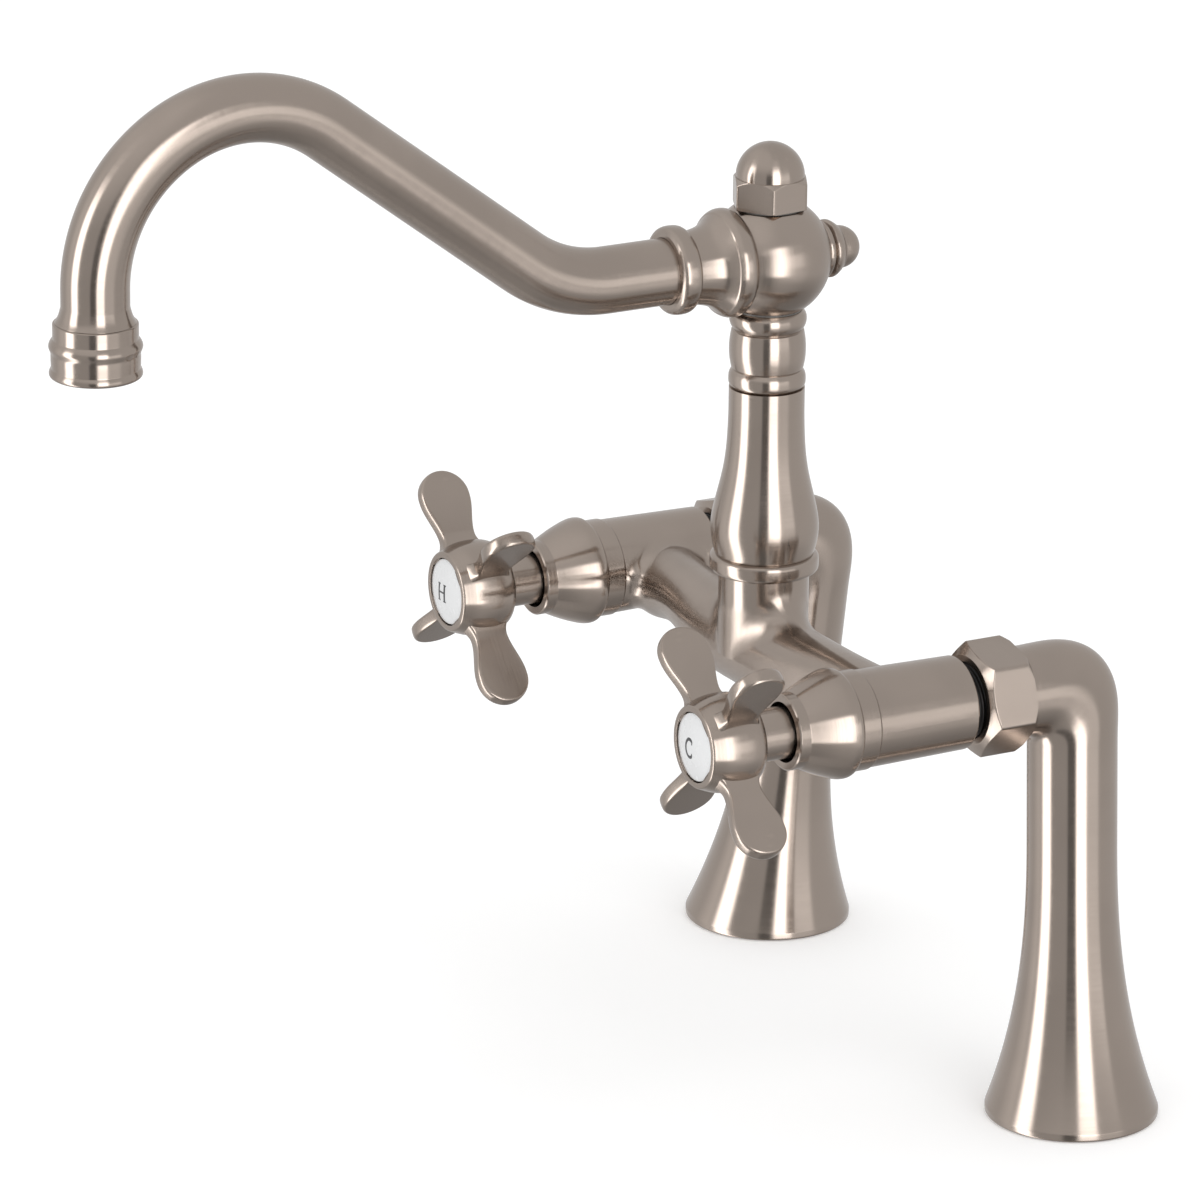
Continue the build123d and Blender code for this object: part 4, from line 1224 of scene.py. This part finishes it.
def ball_outline():
    """Ball about the post's axis, cut flat at both ends, with the bore for the spindle."""
    end = math.degrees(math.atan2(BALL_FLAT, BALL_FLAT_RADIUS))
    return outline(
        (SPINDLE_BORE, SPOUT_HEIGHT - BALL_FLAT),
        (BALL_FLAT_RADIUS, SPOUT_HEIGHT - BALL_FLAT),
        arc((0, SPOUT_HEIGHT), BALL_RADIUS, -end, end, 160),
        (SPINDLE_BORE, SPOUT_HEIGHT + BALL_FLAT),
    )


def ball_shell():
    """The ball with its seats: places beyond a seat are drawn back onto its plane, eased at the edge.

    Its grain runs round the spout's axis, which is how it was turned.
    """
    clear_of_bore = 8.0
    ease = 0.05
    near = 0.1
    shell = turned(post_line(), ball_outline())
    centre = np.array((0, -POST_FORWARD, SPOUT_HEIGHT))
    forward = -(shell.points[:, 1] - centre[1])
    outside = np.linalg.norm(shell.points[:, (0, 1)] - centre[:2], axis=1) > clear_of_bore
    forward = np.where(outside, softer_least(forward, BELL_SEAT, ease), forward)
    forward = np.where(outside, -softer_least(-forward, FINIAL_SEAT, ease), forward)
    shell.points[:, 1] = centre[1] - forward
    place = shell.points - centre
    none = np.zeros(len(place))
    on_seat = outside & ((forward > BELL_SEAT - near) | (forward < near - FINIAL_SEAT))
    way = np.stack((none, -np.sign(forward), none), 1)
    shell.normals = np.where(on_seat[:, None], way, shell.normals)
    shell.grain = unit(np.stack((place[:, 2], none, -place[:, 0]), 1))
    shell.across = np.stack((forward, place[:, 0], place[:, 2]), 1)
    return shell


def cap_outline():
    """Acorn nut: chamfered hexagon blank, dome and threaded blind hole, from pole to pole."""
    corner = CAP_FLAT_RADIUS / math.cos(math.pi / 6)
    drop = 1.4
    edge = 0.3
    hex_top = CAP_SEAT + 8.5
    dome = 9.8
    dome_middle = hex_top + 0.1
    hole = 5.6
    hole_top = dome_middle + dome - 4
    return outline(
        (0, hole_top),
        (hole, hole_top),
        (hole, CAP_SEAT),
        (corner - edge, CAP_SEAT),
        (corner, CAP_SEAT + edge),
        (corner, hex_top - drop),
        (corner - drop, hex_top),
        (dome, hex_top),
        arc((0, dome_middle), dome, 0, 90, 90),
    )


def finial_outline():
    """Ring and small ball behind the hub; distances run forward from the post."""
    seat = -FINIAL_SEAT
    stud, stud_length = 2.5, 5
    ring, groove, bead, ball = 8.2, 7.3, 8.35, 6.15
    thick, bead_length = 2.3, 4.9
    ring_back = seat - thick

    def back(share):
        """A place part of the way from the ring's back to the ball's middle."""
        return ring_back - share * bead_length

    return outline(
        (0, seat + stud_length),
        (stud, seat + stud_length),
        (stud, seat),
        (ring - 1.0, seat),
        [(ring - 0.2, seat - 0.3 * thick), (ring, seat - 0.65 * thick), (ring - 0.3, ring_back)],
        (groove, back(0.05)),
        [(bead - 0.15, back(0.15)), (bead, back(0.27)), (bead - 0.45, back(0.5)), (bead - 1.4, back(0.75)),
         (ball + 0.15, back(0.88)), (ball, back(1))],
        arc((0, back(1)), ball, 0, -90, 80),
    )


class FILLER_OT_hub(bpy.types.Operator):
    """Builds the ball, its acorn nut and the finial behind it"""

    bl_idname = "filler.hub"
    bl_label = "Hub"

    def execute(self, context):
        add_skin("ball_hub", "spout", ball_shell())
        cap = hexagonal(
            post_line(), cap_outline(), CAP_FLAT_RADIUS, CAP_TURN, CAP_CUT_FROM, CAP_EASE, closed=False,
        )
        add_skin("cap_nut", "deck_body", cap)
        add_skin("rear_finial", "spout", turned(spout_line(), finial_outline(), closed=False))
        return {"FINISHED"}


# Spout

def bell_outline():
    """Bell in front of the ball: bead, concave waist and collar, bored for the tube."""
    bead, waist, collar = 15.6, 10.3, 12.7
    spigot, spigot_depth, passage = 7.5, 3, 8.0
    hole = TUBE_RADIUS + 0.05
    back = BELL_SEAT
    front = BELL_SEAT + BELL_LENGTH
    collar_back = front - 6.4
    socket_back = front - TUBE_SOCKET
    return outline(
        (WATERWAY, back - spigot_depth),
        (spigot, back - spigot_depth),
        (spigot, back),
        (bead - 0.7, back),
        [(bead - 0.2, back + 1.0), (bead, back + 2.4), (bead - 0.3, back + 4.0), (bead - 1.0, back + 5.2)],
        (bead - 1.4, back + 5.4),
        [(bead - 3.6, back + 8.2), (waist + 0.5, back + 12.0), (waist, collar_back - 0.5)],
        (waist, collar_back),
        [(waist + 1.6, collar_back + 0.5), (collar, (collar_back + front) / 2), (waist + 1.6, front - 0.5),
         (waist + 0.6, front)],
        (hole, front),
        (hole, socket_back),
        (passage, socket_back),
        (passage, back + 3),
        (WATERWAY, back + 3),
    )


class SwanNeck:
    """The tube's line in the plane of the spout: straight runs joined by arcs that touch them.

    A straight run keeps its heading. On an arc of radius r the heading changes by distance / r, and the
    place is the start plus r times the difference of sines and cosines of the heading.
    """

    RUNS = (
        (TUBE_SOCKET + 19.0, 0.0),
        (43.0, 37.2),
        (75.9, 0.0),
        (42.7, -61.5),
        (45.8, -65.7),
        (9.0, 0.0),
    )

    def __init__(self):
        self.starts = []
        place = np.array((BELL_SEAT + BELL_LENGTH - TUBE_SOCKET, 0.0))
        heading = 0.0
        distance = 0.0
        for size, turn in self.RUNS:
            self.starts.append((distance, place, heading, size, math.radians(turn)))
            length = size * abs(math.radians(turn)) if turn else size
            place, heading = self.move(place, heading, size, math.radians(turn), np.array((length,)))
            place, heading = place[0], heading[0]
            distance += length
        self.length = distance
        self.end = place

    @staticmethod
    def move(place, heading, size, turn, run):
        """Places and headings at distances along one run."""
        if not turn:
            way = np.array((math.cos(heading), math.sin(heading)))
            return place + run[:, None] * way, np.full(len(run), heading)
        sign = math.copysign(1.0, turn)
        later = heading + sign * run / size
        shift = np.stack((np.sin(later) - math.sin(heading), math.cos(heading) - np.cos(later)), 1)
        return place + sign * size * shift, later

    def frames(self, s):
        """Centre, first and second cross directions at each distance."""
        place = np.zeros((len(s), 2))
        heading = np.zeros(len(s))
        ends = [start[0] for start in self.starts[1:]] + [np.inf]
        for (distance, start, angle, size, turn), end in zip(self.starts, ends):
            here = (s >= distance) & (s < end) if distance else s < end
            place[here], heading[here] = self.move(start, angle, size, turn, s[here] - distance)
        centre = np.stack((np.zeros(len(s)), -POST_FORWARD - place[:, 0], SPOUT_HEIGHT + place[:, 1]), 1)
        side = np.tile((1.0, 0, 0), (len(s), 1))
        along = np.stack((np.zeros(len(s)), -np.cos(heading), np.sin(heading)), 1)
        return centre, side, np.cross(along, side)


def tube_outline(length):
    """Tube wall from its socket to the flared end, with the threaded nose inside the aerator."""
    bore = TUBE_RADIUS - TUBE_WALL
    flare = 11.3
    nose = 9.3
    nose_end = length + 6.4
    return outline(
        (bore, 0),
        (TUBE_RADIUS, 0),
        (TUBE_RADIUS, length - 4.4),
        [(TUBE_RADIUS + 0.35, length - 3.0), (flare - 0.9, length - 1.4), (flare, length)],
        (nose, length),
        (nose, nose_end),
        (bore, nose_end),
    )


class FILLER_OT_spout(bpy.types.Operator):
    """Builds the bell and the swan-neck tube"""

    bl_idname = "filler.spout"
    bl_label = "Spout"

    def execute(self, context):
        add_skin("spout_bell", "spout", turned(spout_line(), bell_outline()))
        neck = SwanNeck()
        add_skin("spout_tube", "spout", turned(neck, tube_outline(neck.length), longest=1.0))
        return {"FINISHED"}


# Aerator

def aerator_outline():
    """Band, bead, tapered barrel, lower lip and the threads inside; heights from the tube's end."""
    band, bead, barrel = 11.8, 12.9, 12.35
    low, step = -15.3, 4.4
    thread, mouth, insert = 9.35, 8.2, 8.85
    thread_low = -7.6
    ledge = low + 1.2
    return outline(
        (thread, 0),
        (band - 0.3, 0),
        (band, -0.3),
        (band, -step),
        [(bead - 0.2, -step - 1.3), (bead, -step - 2.4), (bead - 0.5, -step - 3.8), (barrel, -step - 5.2)],
        (barrel - 0.1, low + 2.6),
        [(bead - 0.1, low + 1.4), (bead - 0.2, low + 0.5), (bead - 0.9, low)],
        (mouth, low),
        (mouth, ledge),
        (insert, ledge),
        (insert, thread_low),
        (thread, thread_low),
    )


class FILLER_OT_aerator(bpy.types.Operator):
    """Builds the stepped collar at the outlet"""

    bl_idname = "filler.aerator"
    bl_label = "Aerator"

    def execute(self, context):
        forward, up = SwanNeck().end
        line = Line((0, -POST_FORWARD - forward, SPOUT_HEIGHT + up), (0, 0, 1), (1, 0, 0))
        add_skin("aerator_housing", "spout", turned(line, aerator_outline()))
        return {"FINISHED"}


# Handles

def hub_outline():
    """Hub and skirt of a handle, with seats for the button, the screw and the stem."""
    belly, rim, skirt = 14.0, 12.1, 7.4
    seat = BUTTON_RADIUS + 0.35
    head, screw, stem = 4.35, 2.5, 3.95
    screw_seat = BUTTON_SEAT - 2.9
    stem_front = screw_seat - 3.0
    skirt_back = HUB_BACK - 15.4
    return outline(
        (stem, skirt_back),
        (skirt, skirt_back),
        (skirt, HUB_BACK - 1.2),
        [(skirt + 0.35, HUB_BACK - 0.3), (skirt + 1.6, HUB_BACK)],
        [(belly - 2.6, HUB_BACK + 0.8), (belly - 0.7, HUB_BACK + 3.6), (belly, HUB_BACK + 8.4),
         (belly - 0.5, HUB_BACK + 13.0), (rim - 0.1, HUB_FRONT - 1.0)],
        [(rim - 0.5, HUB_FRONT - 0.2), (rim - 1.2, HUB_FRONT)],
        (seat, HUB_FRONT),
        (seat, BUTTON_SEAT),
        (head, BUTTON_SEAT),
        (head, screw_seat),
        (screw, screw_seat),
        (screw, stem_front),
        (stem, stem_front),
    )


def lobe_half_width(reach):
    """Half the lobe's width at a distance from the hub's axis.

    It flares into the hub inside the neck, swells by a smooth step to the tip's width, and ends in a
    half circle.
    """
    swell_end = LOBE_TIP_CENTRE - 0.8
    flare_run, flare_gain, widest = 6.0, 3.4, 9.0
    share = np.clip((reach - LOBE_NECK_AT) / (swell_end - LOBE_NECK_AT), 0, 1)
    body = LOBE_NECK_HALF + (LOBE_HALF_WIDTH - LOBE_NECK_HALF) * share * share * (3 - 2 * share)
    flare = np.clip((LOBE_NECK_AT - reach) / flare_run, 0, 2) ** 2 * flare_gain
    past = np.clip(reach - LOBE_TIP_CENTRE, 0, LOBE_HALF_WIDTH)
    tip = np.sqrt(np.maximum(LOBE_HALF_WIDTH ** 2 - past ** 2, 0))
    return np.where(reach > LOBE_TIP_CENTRE, tip, np.minimum(body + flare, widest))


def lobe_half_thickness(reach, place, width):
    """Half the lobe's thickness: falls to nothing at the outline as the cube root of one less a cube.

    A slight crown runs down its middle, and its root thickens into the hub.
    """
    edge, crown_height = 1.1, 0.18
    root_run, root_gain = 6.0, 1.6
    past = reach - LOBE_TIP_CENTRE
    from_tip = LOBE_HALF_WIDTH - np.hypot(np.maximum(past, 0), place)
    from_edge = np.maximum(np.where(past > 0, from_tip, width - np.abs(place)), 0)
    inside = np.clip(from_edge / edge, 0, 1)
    root = np.clip((LOBE_NECK_AT + 1.0 - reach) / root_run, 0, 2) ** 2 * root_gain
    crown = crown_height * (1 - np.clip(np.abs(place) / LOBE_HALF_WIDTH, 0, 1) ** 2)
    return (LOBE_HALF_THICK - crown.max() + crown + root) * np.cbrt(np.maximum(1 - (1 - inside) ** 3, 0))


def lobe_shell(side, angle_degrees):
    """One wing: a flat plate with round edges, whose grain runs from the hub outwards.

    A place on it is a reach, sine-spaced, and a share of the half width, cosine-spaced.
    """
    rows, columns = 80, 72
    reach = LOBE_ROOT + (LOBE_REACH - LOBE_ROOT) * np.sin(np.linspace(0, math.pi / 2, rows))[:, None]
    section = angles(columns)
    width = lobe_half_width(reach)
    place = width * np.cos(section)
    half = lobe_half_thickness(reach, place, width)
    thick = np.where(np.sin(section) >= 0, half, -half)
    reach, place, thick = np.broadcast_arrays(reach, place, thick)
    grid = np.stack((reach, place, thick), -1)
    grid[0] = (LOBE_ROOT, 0, 0)
    turn = math.radians(angle_degrees)
    out = np.array((math.cos(turn), 0, math.sin(turn)))
    back = np.array((0, -1.0, 0))
    tangent = np.array((-math.sin(turn), 0, math.cos(turn)))
    centre = np.array((VALVE_X[side], -LOBE_FORWARD, VALVE_HEIGHT))
    placed = centre + grid[..., :1] * out + grid[..., 1:2] * back + grid[..., 2:] * tangent
    shell = Shell(placed, grid[..., (1, 0, 2)], False)
    shell.grain = np.tile(out, (len(shell.points), 1))
    return shell


class FILLER_OT_handles(bpy.types.Operator):
    """Builds the two handles: hub, skirt and four wings each"""

    bl_idname = "filler.handles"
    bl_label = "Handles"

    def execute(self, context):
        for side in SIDES:
            hub = turned(valve_line(side), hub_outline())
            turns = [HANDLE_TURN[side] + lobe * 360 / LOBE_COUNT for lobe in range(LOBE_COUNT)]
            wings = [lobe_shell(side, turn) for turn in turns]
            add_skin(f"{side}_handle", f"{side}_handle_set", hub, *wings)
        return {"FINISHED"}


# Buttons

def dome_height(radius):
    """How far forward the button's dome lies at a distance from its axis."""
    return BUTTON_TOP - DOME_RADIUS + np.sqrt(DOME_RADIUS ** 2 - radius ** 2)


def button_outline():
    """Domed button from the pole of its seat to the pole of its dome."""
    radius = np.linspace(BUTTON_RADIUS, 0, 60)
    dome = np.stack((radius, dome_height(radius)), 1)
    return outline((0, BUTTON_SEAT), (BUTTON_RADIUS, BUTTON_SEAT), (BUTTON_RADIUS, BUTTON_EDGE), dome)


def stroke_shell(side, path, half_width):
    """One inked stroke: a flat oval carried along a line in the button's plane and laid on its dome."""
    step, ink_height, ink_lift = 0.12, 0.045, 0.01
    rows = evenly(np.array(path, float), step)
    ease = np.sqrt(np.clip(1 - np.abs(np.linspace(-1, 1, len(rows))) ** 24, 0, 1))
    along = unit(np.gradient(rows, axis=0))
    side_way = np.stack((-along[:, 1], along[:, 0]), 1)
    section = angles(20)
    width = half_width * ease[:, None] * np.cos(section)
    plan = rows[:, None] + width[..., None] * side_way[:, None]
    x, z = plan[..., 0], plan[..., 1]
    lift = dome_height(np.hypot(x, z)) + ink_height * ease[:, None] * np.sin(section) + ink_lift
    grid = np.stack((VALVE_X[side] + x, -lift, VALVE_HEIGHT + z), -1)
    return Shell(grid, grid.copy(), False)


def letter_strokes(side):
    """Strokes of a plain C or H, five millimetres tall, with short feet; each with its half width."""
    stem, bar, foot = 0.46, 0.26, 0.2
    if side == "cold":
        angle = np.radians(np.linspace(48, 312, 60))
        bow = np.stack((2.0 * np.cos(angle), 2.6 * np.sin(angle)), 1)
        return [(bow, stem)] + [([(1.34, end * 1.2), (1.34, end * 2.3)], 0.24) for end in (1, -1)]
    across, tall = 1.6, 2.5
    strokes = [([(x, -tall), (x, tall)], stem) for x in (-across, across)]
    strokes.append(([(-across, 0.1), (across, 0.1)], bar))
    strokes += [([(x - 0.8, z), (x + 0.8, z)], foot) for x in (-across, across) for z in (-tall, tall)]
    return strokes


class FILLER_OT_buttons(bpy.types.Operator):
    """Builds the porcelain buttons and their letters, H for hot and C for cold"""

    bl_idname = "filler.buttons"
    bl_label = "Buttons"

    def execute(self, context):
        for side in SIDES:
            body = f"{side}_handle_set"
            button = turned(valve_line(side), button_outline(), closed=False)
            add_skin(f"{side}_index_button", body, button, slot="porcelain", name=f"{side}_button_skin")
            strokes = [stroke_shell(side, path, width) for path, width in letter_strokes(side)]
            add_piece(f"{side}_button_letter", body, strokes, slot="porcelain", finish="ink")
        return {"FINISHED"}


# Pieces that keep the frame's shape


class FILLER_OT_inner_parts(bpy.types.Operator):
    """Gives each piece of the frame that stays its own finish"""

    bl_idname = "filler.inner_parts"
    bl_label = "Bridge and inner parts"

    def execute(self, context):
        for part in frame["record"]["subparts"]:
            piece = frame["nodes"][part["node"]]
            name = "nickel_cast" if part["material_slot"] == "nickel" else part["material_slot"]
            for slot in piece.material_slots:
                slot.material = material(name)
        return {"FINISHED"}


class FILLER_OT_materials(bpy.types.Operator):
    """Builds the finishes that the pieces share"""

    bl_idname = "filler.materials"
    bl_label = "Finishes"

    def execute(self, context):
        make_materials()
        return {"FINISHED"}


# Stage

FLOOR_HALF = 4.0
FLOOR_LEVEL = -0.0002
FLOOR_GLOW = 0.2
KEY_SIZE = 1.2
KEY_POWER = 6.0
KEY_RIGHT, KEY_BACK, KEY_UP = 1.0, 1.2, 1.6
WHITE = (1, 1, 1, 1)


def view_directions():
    """Right, up and back of the camera, rolled a little as in the photograph."""
    sin_a, cos_a = math.sin(VIEW_AZIMUTH), math.cos(VIEW_AZIMUTH)
    sin_e, cos_e = math.sin(VIEW_ELEVATION), math.cos(VIEW_ELEVATION)
    right = np.array((cos_a, sin_a, 0))
    up = np.array((-sin_a * sin_e, cos_a * sin_e, cos_e))
    back = np.array((sin_a * cos_e, -cos_a * cos_e, sin_e))
    sin_r, cos_r = math.sin(VIEW_ROLL), math.cos(VIEW_ROLL)
    return cos_r * right + sin_r * up, cos_r * up - sin_r * right, back


def stand(holder, right, up, back, place):
    """Turns an object to three directions and puts it at a place in metres."""
    matrix = np.eye(4)
    matrix[:3] = np.stack((right, up, back, place), 1)
    holder.matrix_world = matrix.T


def make_camera():
    """The camera at the photograph's place, looking along its line."""
    right, up, back = view_directions()
    camera = bpy.data.cameras.new("camera")
    camera.lens = VIEW_LENS
    camera.sensor_width = VIEW_SENSOR
    camera.clip_end = 100.0
    holder = add_object("camera", camera)
    stand(holder, right, up, back, (VIEW_TARGET + back * VIEW_DISTANCE) * MM)
    bpy.context.scene.camera = holder


def make_floor():
    """A pale floor that takes the shadow and stays out of the metal's reflections."""
    signs = ((-1, -1), (1, -1), (1, 1), (-1, 1))
    corners = [(x * FLOOR_HALF, y * FLOOR_HALF, FLOOR_LEVEL) for x, y in signs]
    mesh = bpy.data.meshes.new("floor")
    mesh.from_pydata(corners, [], [(0, 1, 2, 3)])
    surface, tree, shader = new_material("floor")
    seen = node(tree, "ShaderNodeLightPath").outputs["Is Camera Ray"]
    fill(
        tree, shader, Base_Color=(*bpy.context.scene.filler_studio.floor, 1), Roughness=1.0,
        Specular_IOR_Level=0.0, Emission_Color=WHITE,
        Emission_Strength=math_node(tree, "MULTIPLY", seen, FLOOR_GLOW),
    )
    mesh.materials.append(surface)
    floor = add_object("floor", mesh)
    floor.visible_glossy = False


def studio_panel():
    """How much of a tall panel lies in a direction: inside its left, right, bottom and top edges."""
    tree, given, made = group(
        "studio_panel",
        [(label, FLOAT, None) for label in ("Across", "Up", "Left", "Right", "Bottom", "Top", "Soft")],
        [("Share", FLOAT)],
    )
    across, up, left, right, bottom, top, soft = given.outputs[:7]

    def edge(far, near):
        """Rises from 0 to 1 as one number passes another by the softness."""
        gap = math_node(tree, "SUBTRACT", far, near)
        return math_node(tree, "ADD", math_node(tree, "DIVIDE", gap, soft), 0.5, clamp=True)

    wide = math_node(tree, "MULTIPLY", edge(across, left), edge(right, across))
    tall = math_node(tree, "MULTIPLY", edge(up, bottom), edge(top, up))
    fill(tree, made, Share=math_node(tree, "MULTIPLY", wide, tall))


# Panels round the object, each laid over those before it: left, right, bottom and top edges in
# degrees from the line to the camera and from the horizon, softness in degrees, and brightness
PANELS = (
    ("upper_left", (-150, 10, 28, 131, 30), 0.86),
    ("low", (-221, 221, -131, -45, 40), 0.48),
    ("low_right", (60, 240, -131, -40, 36), 0.34),
    ("front", (20, 70, -30, -9, 12), 0.95),
    ("horizon", (20, 66, -9, 13, 6), 1.4),
    ("left_glow", (-106, -84, -60, 30, 20), 1.0),
    ("shade", (-58, -14, -60, 24, 8), 0.58),
    ("flag", (-14, 5, -60, 18, 5), "flag"),
    ("left_strip", (-81, -58, -60, 30, 7), "strip"),
    ("right_strip", (8, 33, -22, 30, 5), "strip"),
)
OPEN_LEVEL = 0.72


def make_world():
    """White backdrop; metal and glass see it with two tall bright strips, grey panels and a dark flag."""
    studio = bpy.context.scene.filler_studio
    studio_panel()
    world = bpy.data.worlds.new("studio")
    bpy.context.scene.world = world
    world.use_nodes = True
    tree = world.node_tree
    way = node(tree, "ShaderNodeTexCoord").outputs["Generated"]
    right, up, back = view_directions()
    level = np.array((1, 1, 0))
    sideways = vector_node(tree, "DOT_PRODUCT", way, tuple(unit(right * level)))
    toward = vector_node(tree, "DOT_PRODUCT", way, tuple(unit(back * level)))
    height = vector_node(tree, "DOT_PRODUCT", way, (0, 0, 1))
    across = math_node(tree, "DEGREES", math_node(tree, "ARCTAN2", sideways, toward))
    elevation = math_node(tree, "DEGREES", math_node(tree, "ARCSINE", height))
    light = OPEN_LEVEL
    for name, edges, bright in PANELS:
        panel = group_node(tree, "studio_panel", across, elevation, *edges)
        panel.name = name
        bright = getattr(studio, bright) if isinstance(bright, str) else bright
        step = math_node(tree, "SUBTRACT", bright, light)
        light = math_node(tree, "ADD", light, math_node(tree, "MULTIPLY", step, panel.outputs[0]))
    rays = node(tree, "ShaderNodeLightPath").outputs
    shiny = math_node(tree, "ADD", rays["Is Glossy Ray"], rays["Is Transmission Ray"], clamp=True)
    seen = mix_node(tree, "RGBA", shiny, (studio.fill,) * 3 + (1,), WHITE)
    extra = math_node(tree, "MULTIPLY", shiny, math_node(tree, "SUBTRACT", light, 1.0))
    fill(
        tree, tree.nodes["Background"], Color=mix_node(tree, "RGBA", rays["Is Camera Ray"], seen, WHITE),
        Strength=math_node(tree, "ADD", extra, 1.0),
    )


def make_key():
    """A soft lamp over the right shoulder that models the porcelain and lays a light shadow."""
    right, up, back = view_directions()
    lamp = bpy.data.lights.new("key", "AREA")
    lamp.shape = "DISK"
    lamp.size = KEY_SIZE
    lamp.energy = KEY_POWER
    holder = add_object("key", lamp)
    holder.visible_glossy = False
    holder.visible_camera = False
    place = back * KEY_BACK + right * KEY_RIGHT + np.array((0, 0, KEY_UP))
    forward = unit(-place)
    side = unit(np.cross(forward, (0, 0, 1)))
    stand(holder, side, np.cross(side, forward), -forward, place)


class FILLER_OT_stage(bpy.types.Operator):
    """Builds the floor, the backdrop, the lamp and the camera"""

    bl_idname = "filler.stage"
    bl_label = "Stage"

    def execute(self, context):
        make_floor()
        make_world()
        if context.scene.filler_studio.key:
            make_key()
        make_camera()
        context.scene.view_settings.view_transform = "Standard"
        return {"FINISHED"}


STEPS = (
    FILLER_OT_materials,
    FILLER_OT_inner_parts,
    FILLER_OT_risers,
    FILLER_OT_unions,
    FILLER_OT_bonnets,
    FILLER_OT_post,
    FILLER_OT_hub,
    FILLER_OT_spout,
    FILLER_OT_aerator,
    FILLER_OT_handles,
    FILLER_OT_buttons,
    FILLER_OT_stage,
)


class FILLER_PT_panel(bpy.types.Panel):
    """Lists the steps and the sizes and colours that they read"""

    bl_idname = "FILLER_PT_panel"
    bl_label = "Bath filler"
    bl_space_type = "VIEW_3D"
    bl_region_type = "UI"
    bl_category = "Bath filler"

    def draw(self, context):
        scene = context.scene
        for settings in (scene.filler_sizes, scene.filler_finish, scene.filler_studio):
            box = self.layout.box()
            for name in settings.__annotations__:
                box.prop(settings, name)
        for step in STEPS:
            self.layout.operator(step.bl_idname)


CLASSES = (FillerSizes, FillerFinish, FillerStudio, *STEPS, FILLER_PT_panel)


def register():
    """Registers the classes and hangs the three groups of settings on the scene."""
    for made in CLASSES:
        bpy.utils.register_class(made)
    bpy.types.Scene.filler_sizes = PointerProperty(type=FillerSizes)
    bpy.types.Scene.filler_finish = PointerProperty(type=FillerFinish)
    bpy.types.Scene.filler_studio = PointerProperty(type=FillerStudio)


def unregister():
    """Takes the settings and the classes away again."""
    del bpy.types.Scene.filler_sizes
    del bpy.types.Scene.filler_finish
    del bpy.types.Scene.filler_studio
    for made in reversed(CLASSES):
        bpy.utils.unregister_class(made)


def main():
    """Builds everything in order."""
    register()
    bpy.ops.filler.materials()
    bpy.ops.filler.inner_parts()
    bpy.ops.filler.risers()
    bpy.ops.filler.unions()
    bpy.ops.filler.bonnets()
    bpy.ops.filler.post()
    bpy.ops.filler.hub()
    bpy.ops.filler.spout()
    bpy.ops.filler.aerator()
    bpy.ops.filler.handles()
    bpy.ops.filler.buttons()
    bpy.ops.filler.stage()


if __name__ == "__main__":
    main()
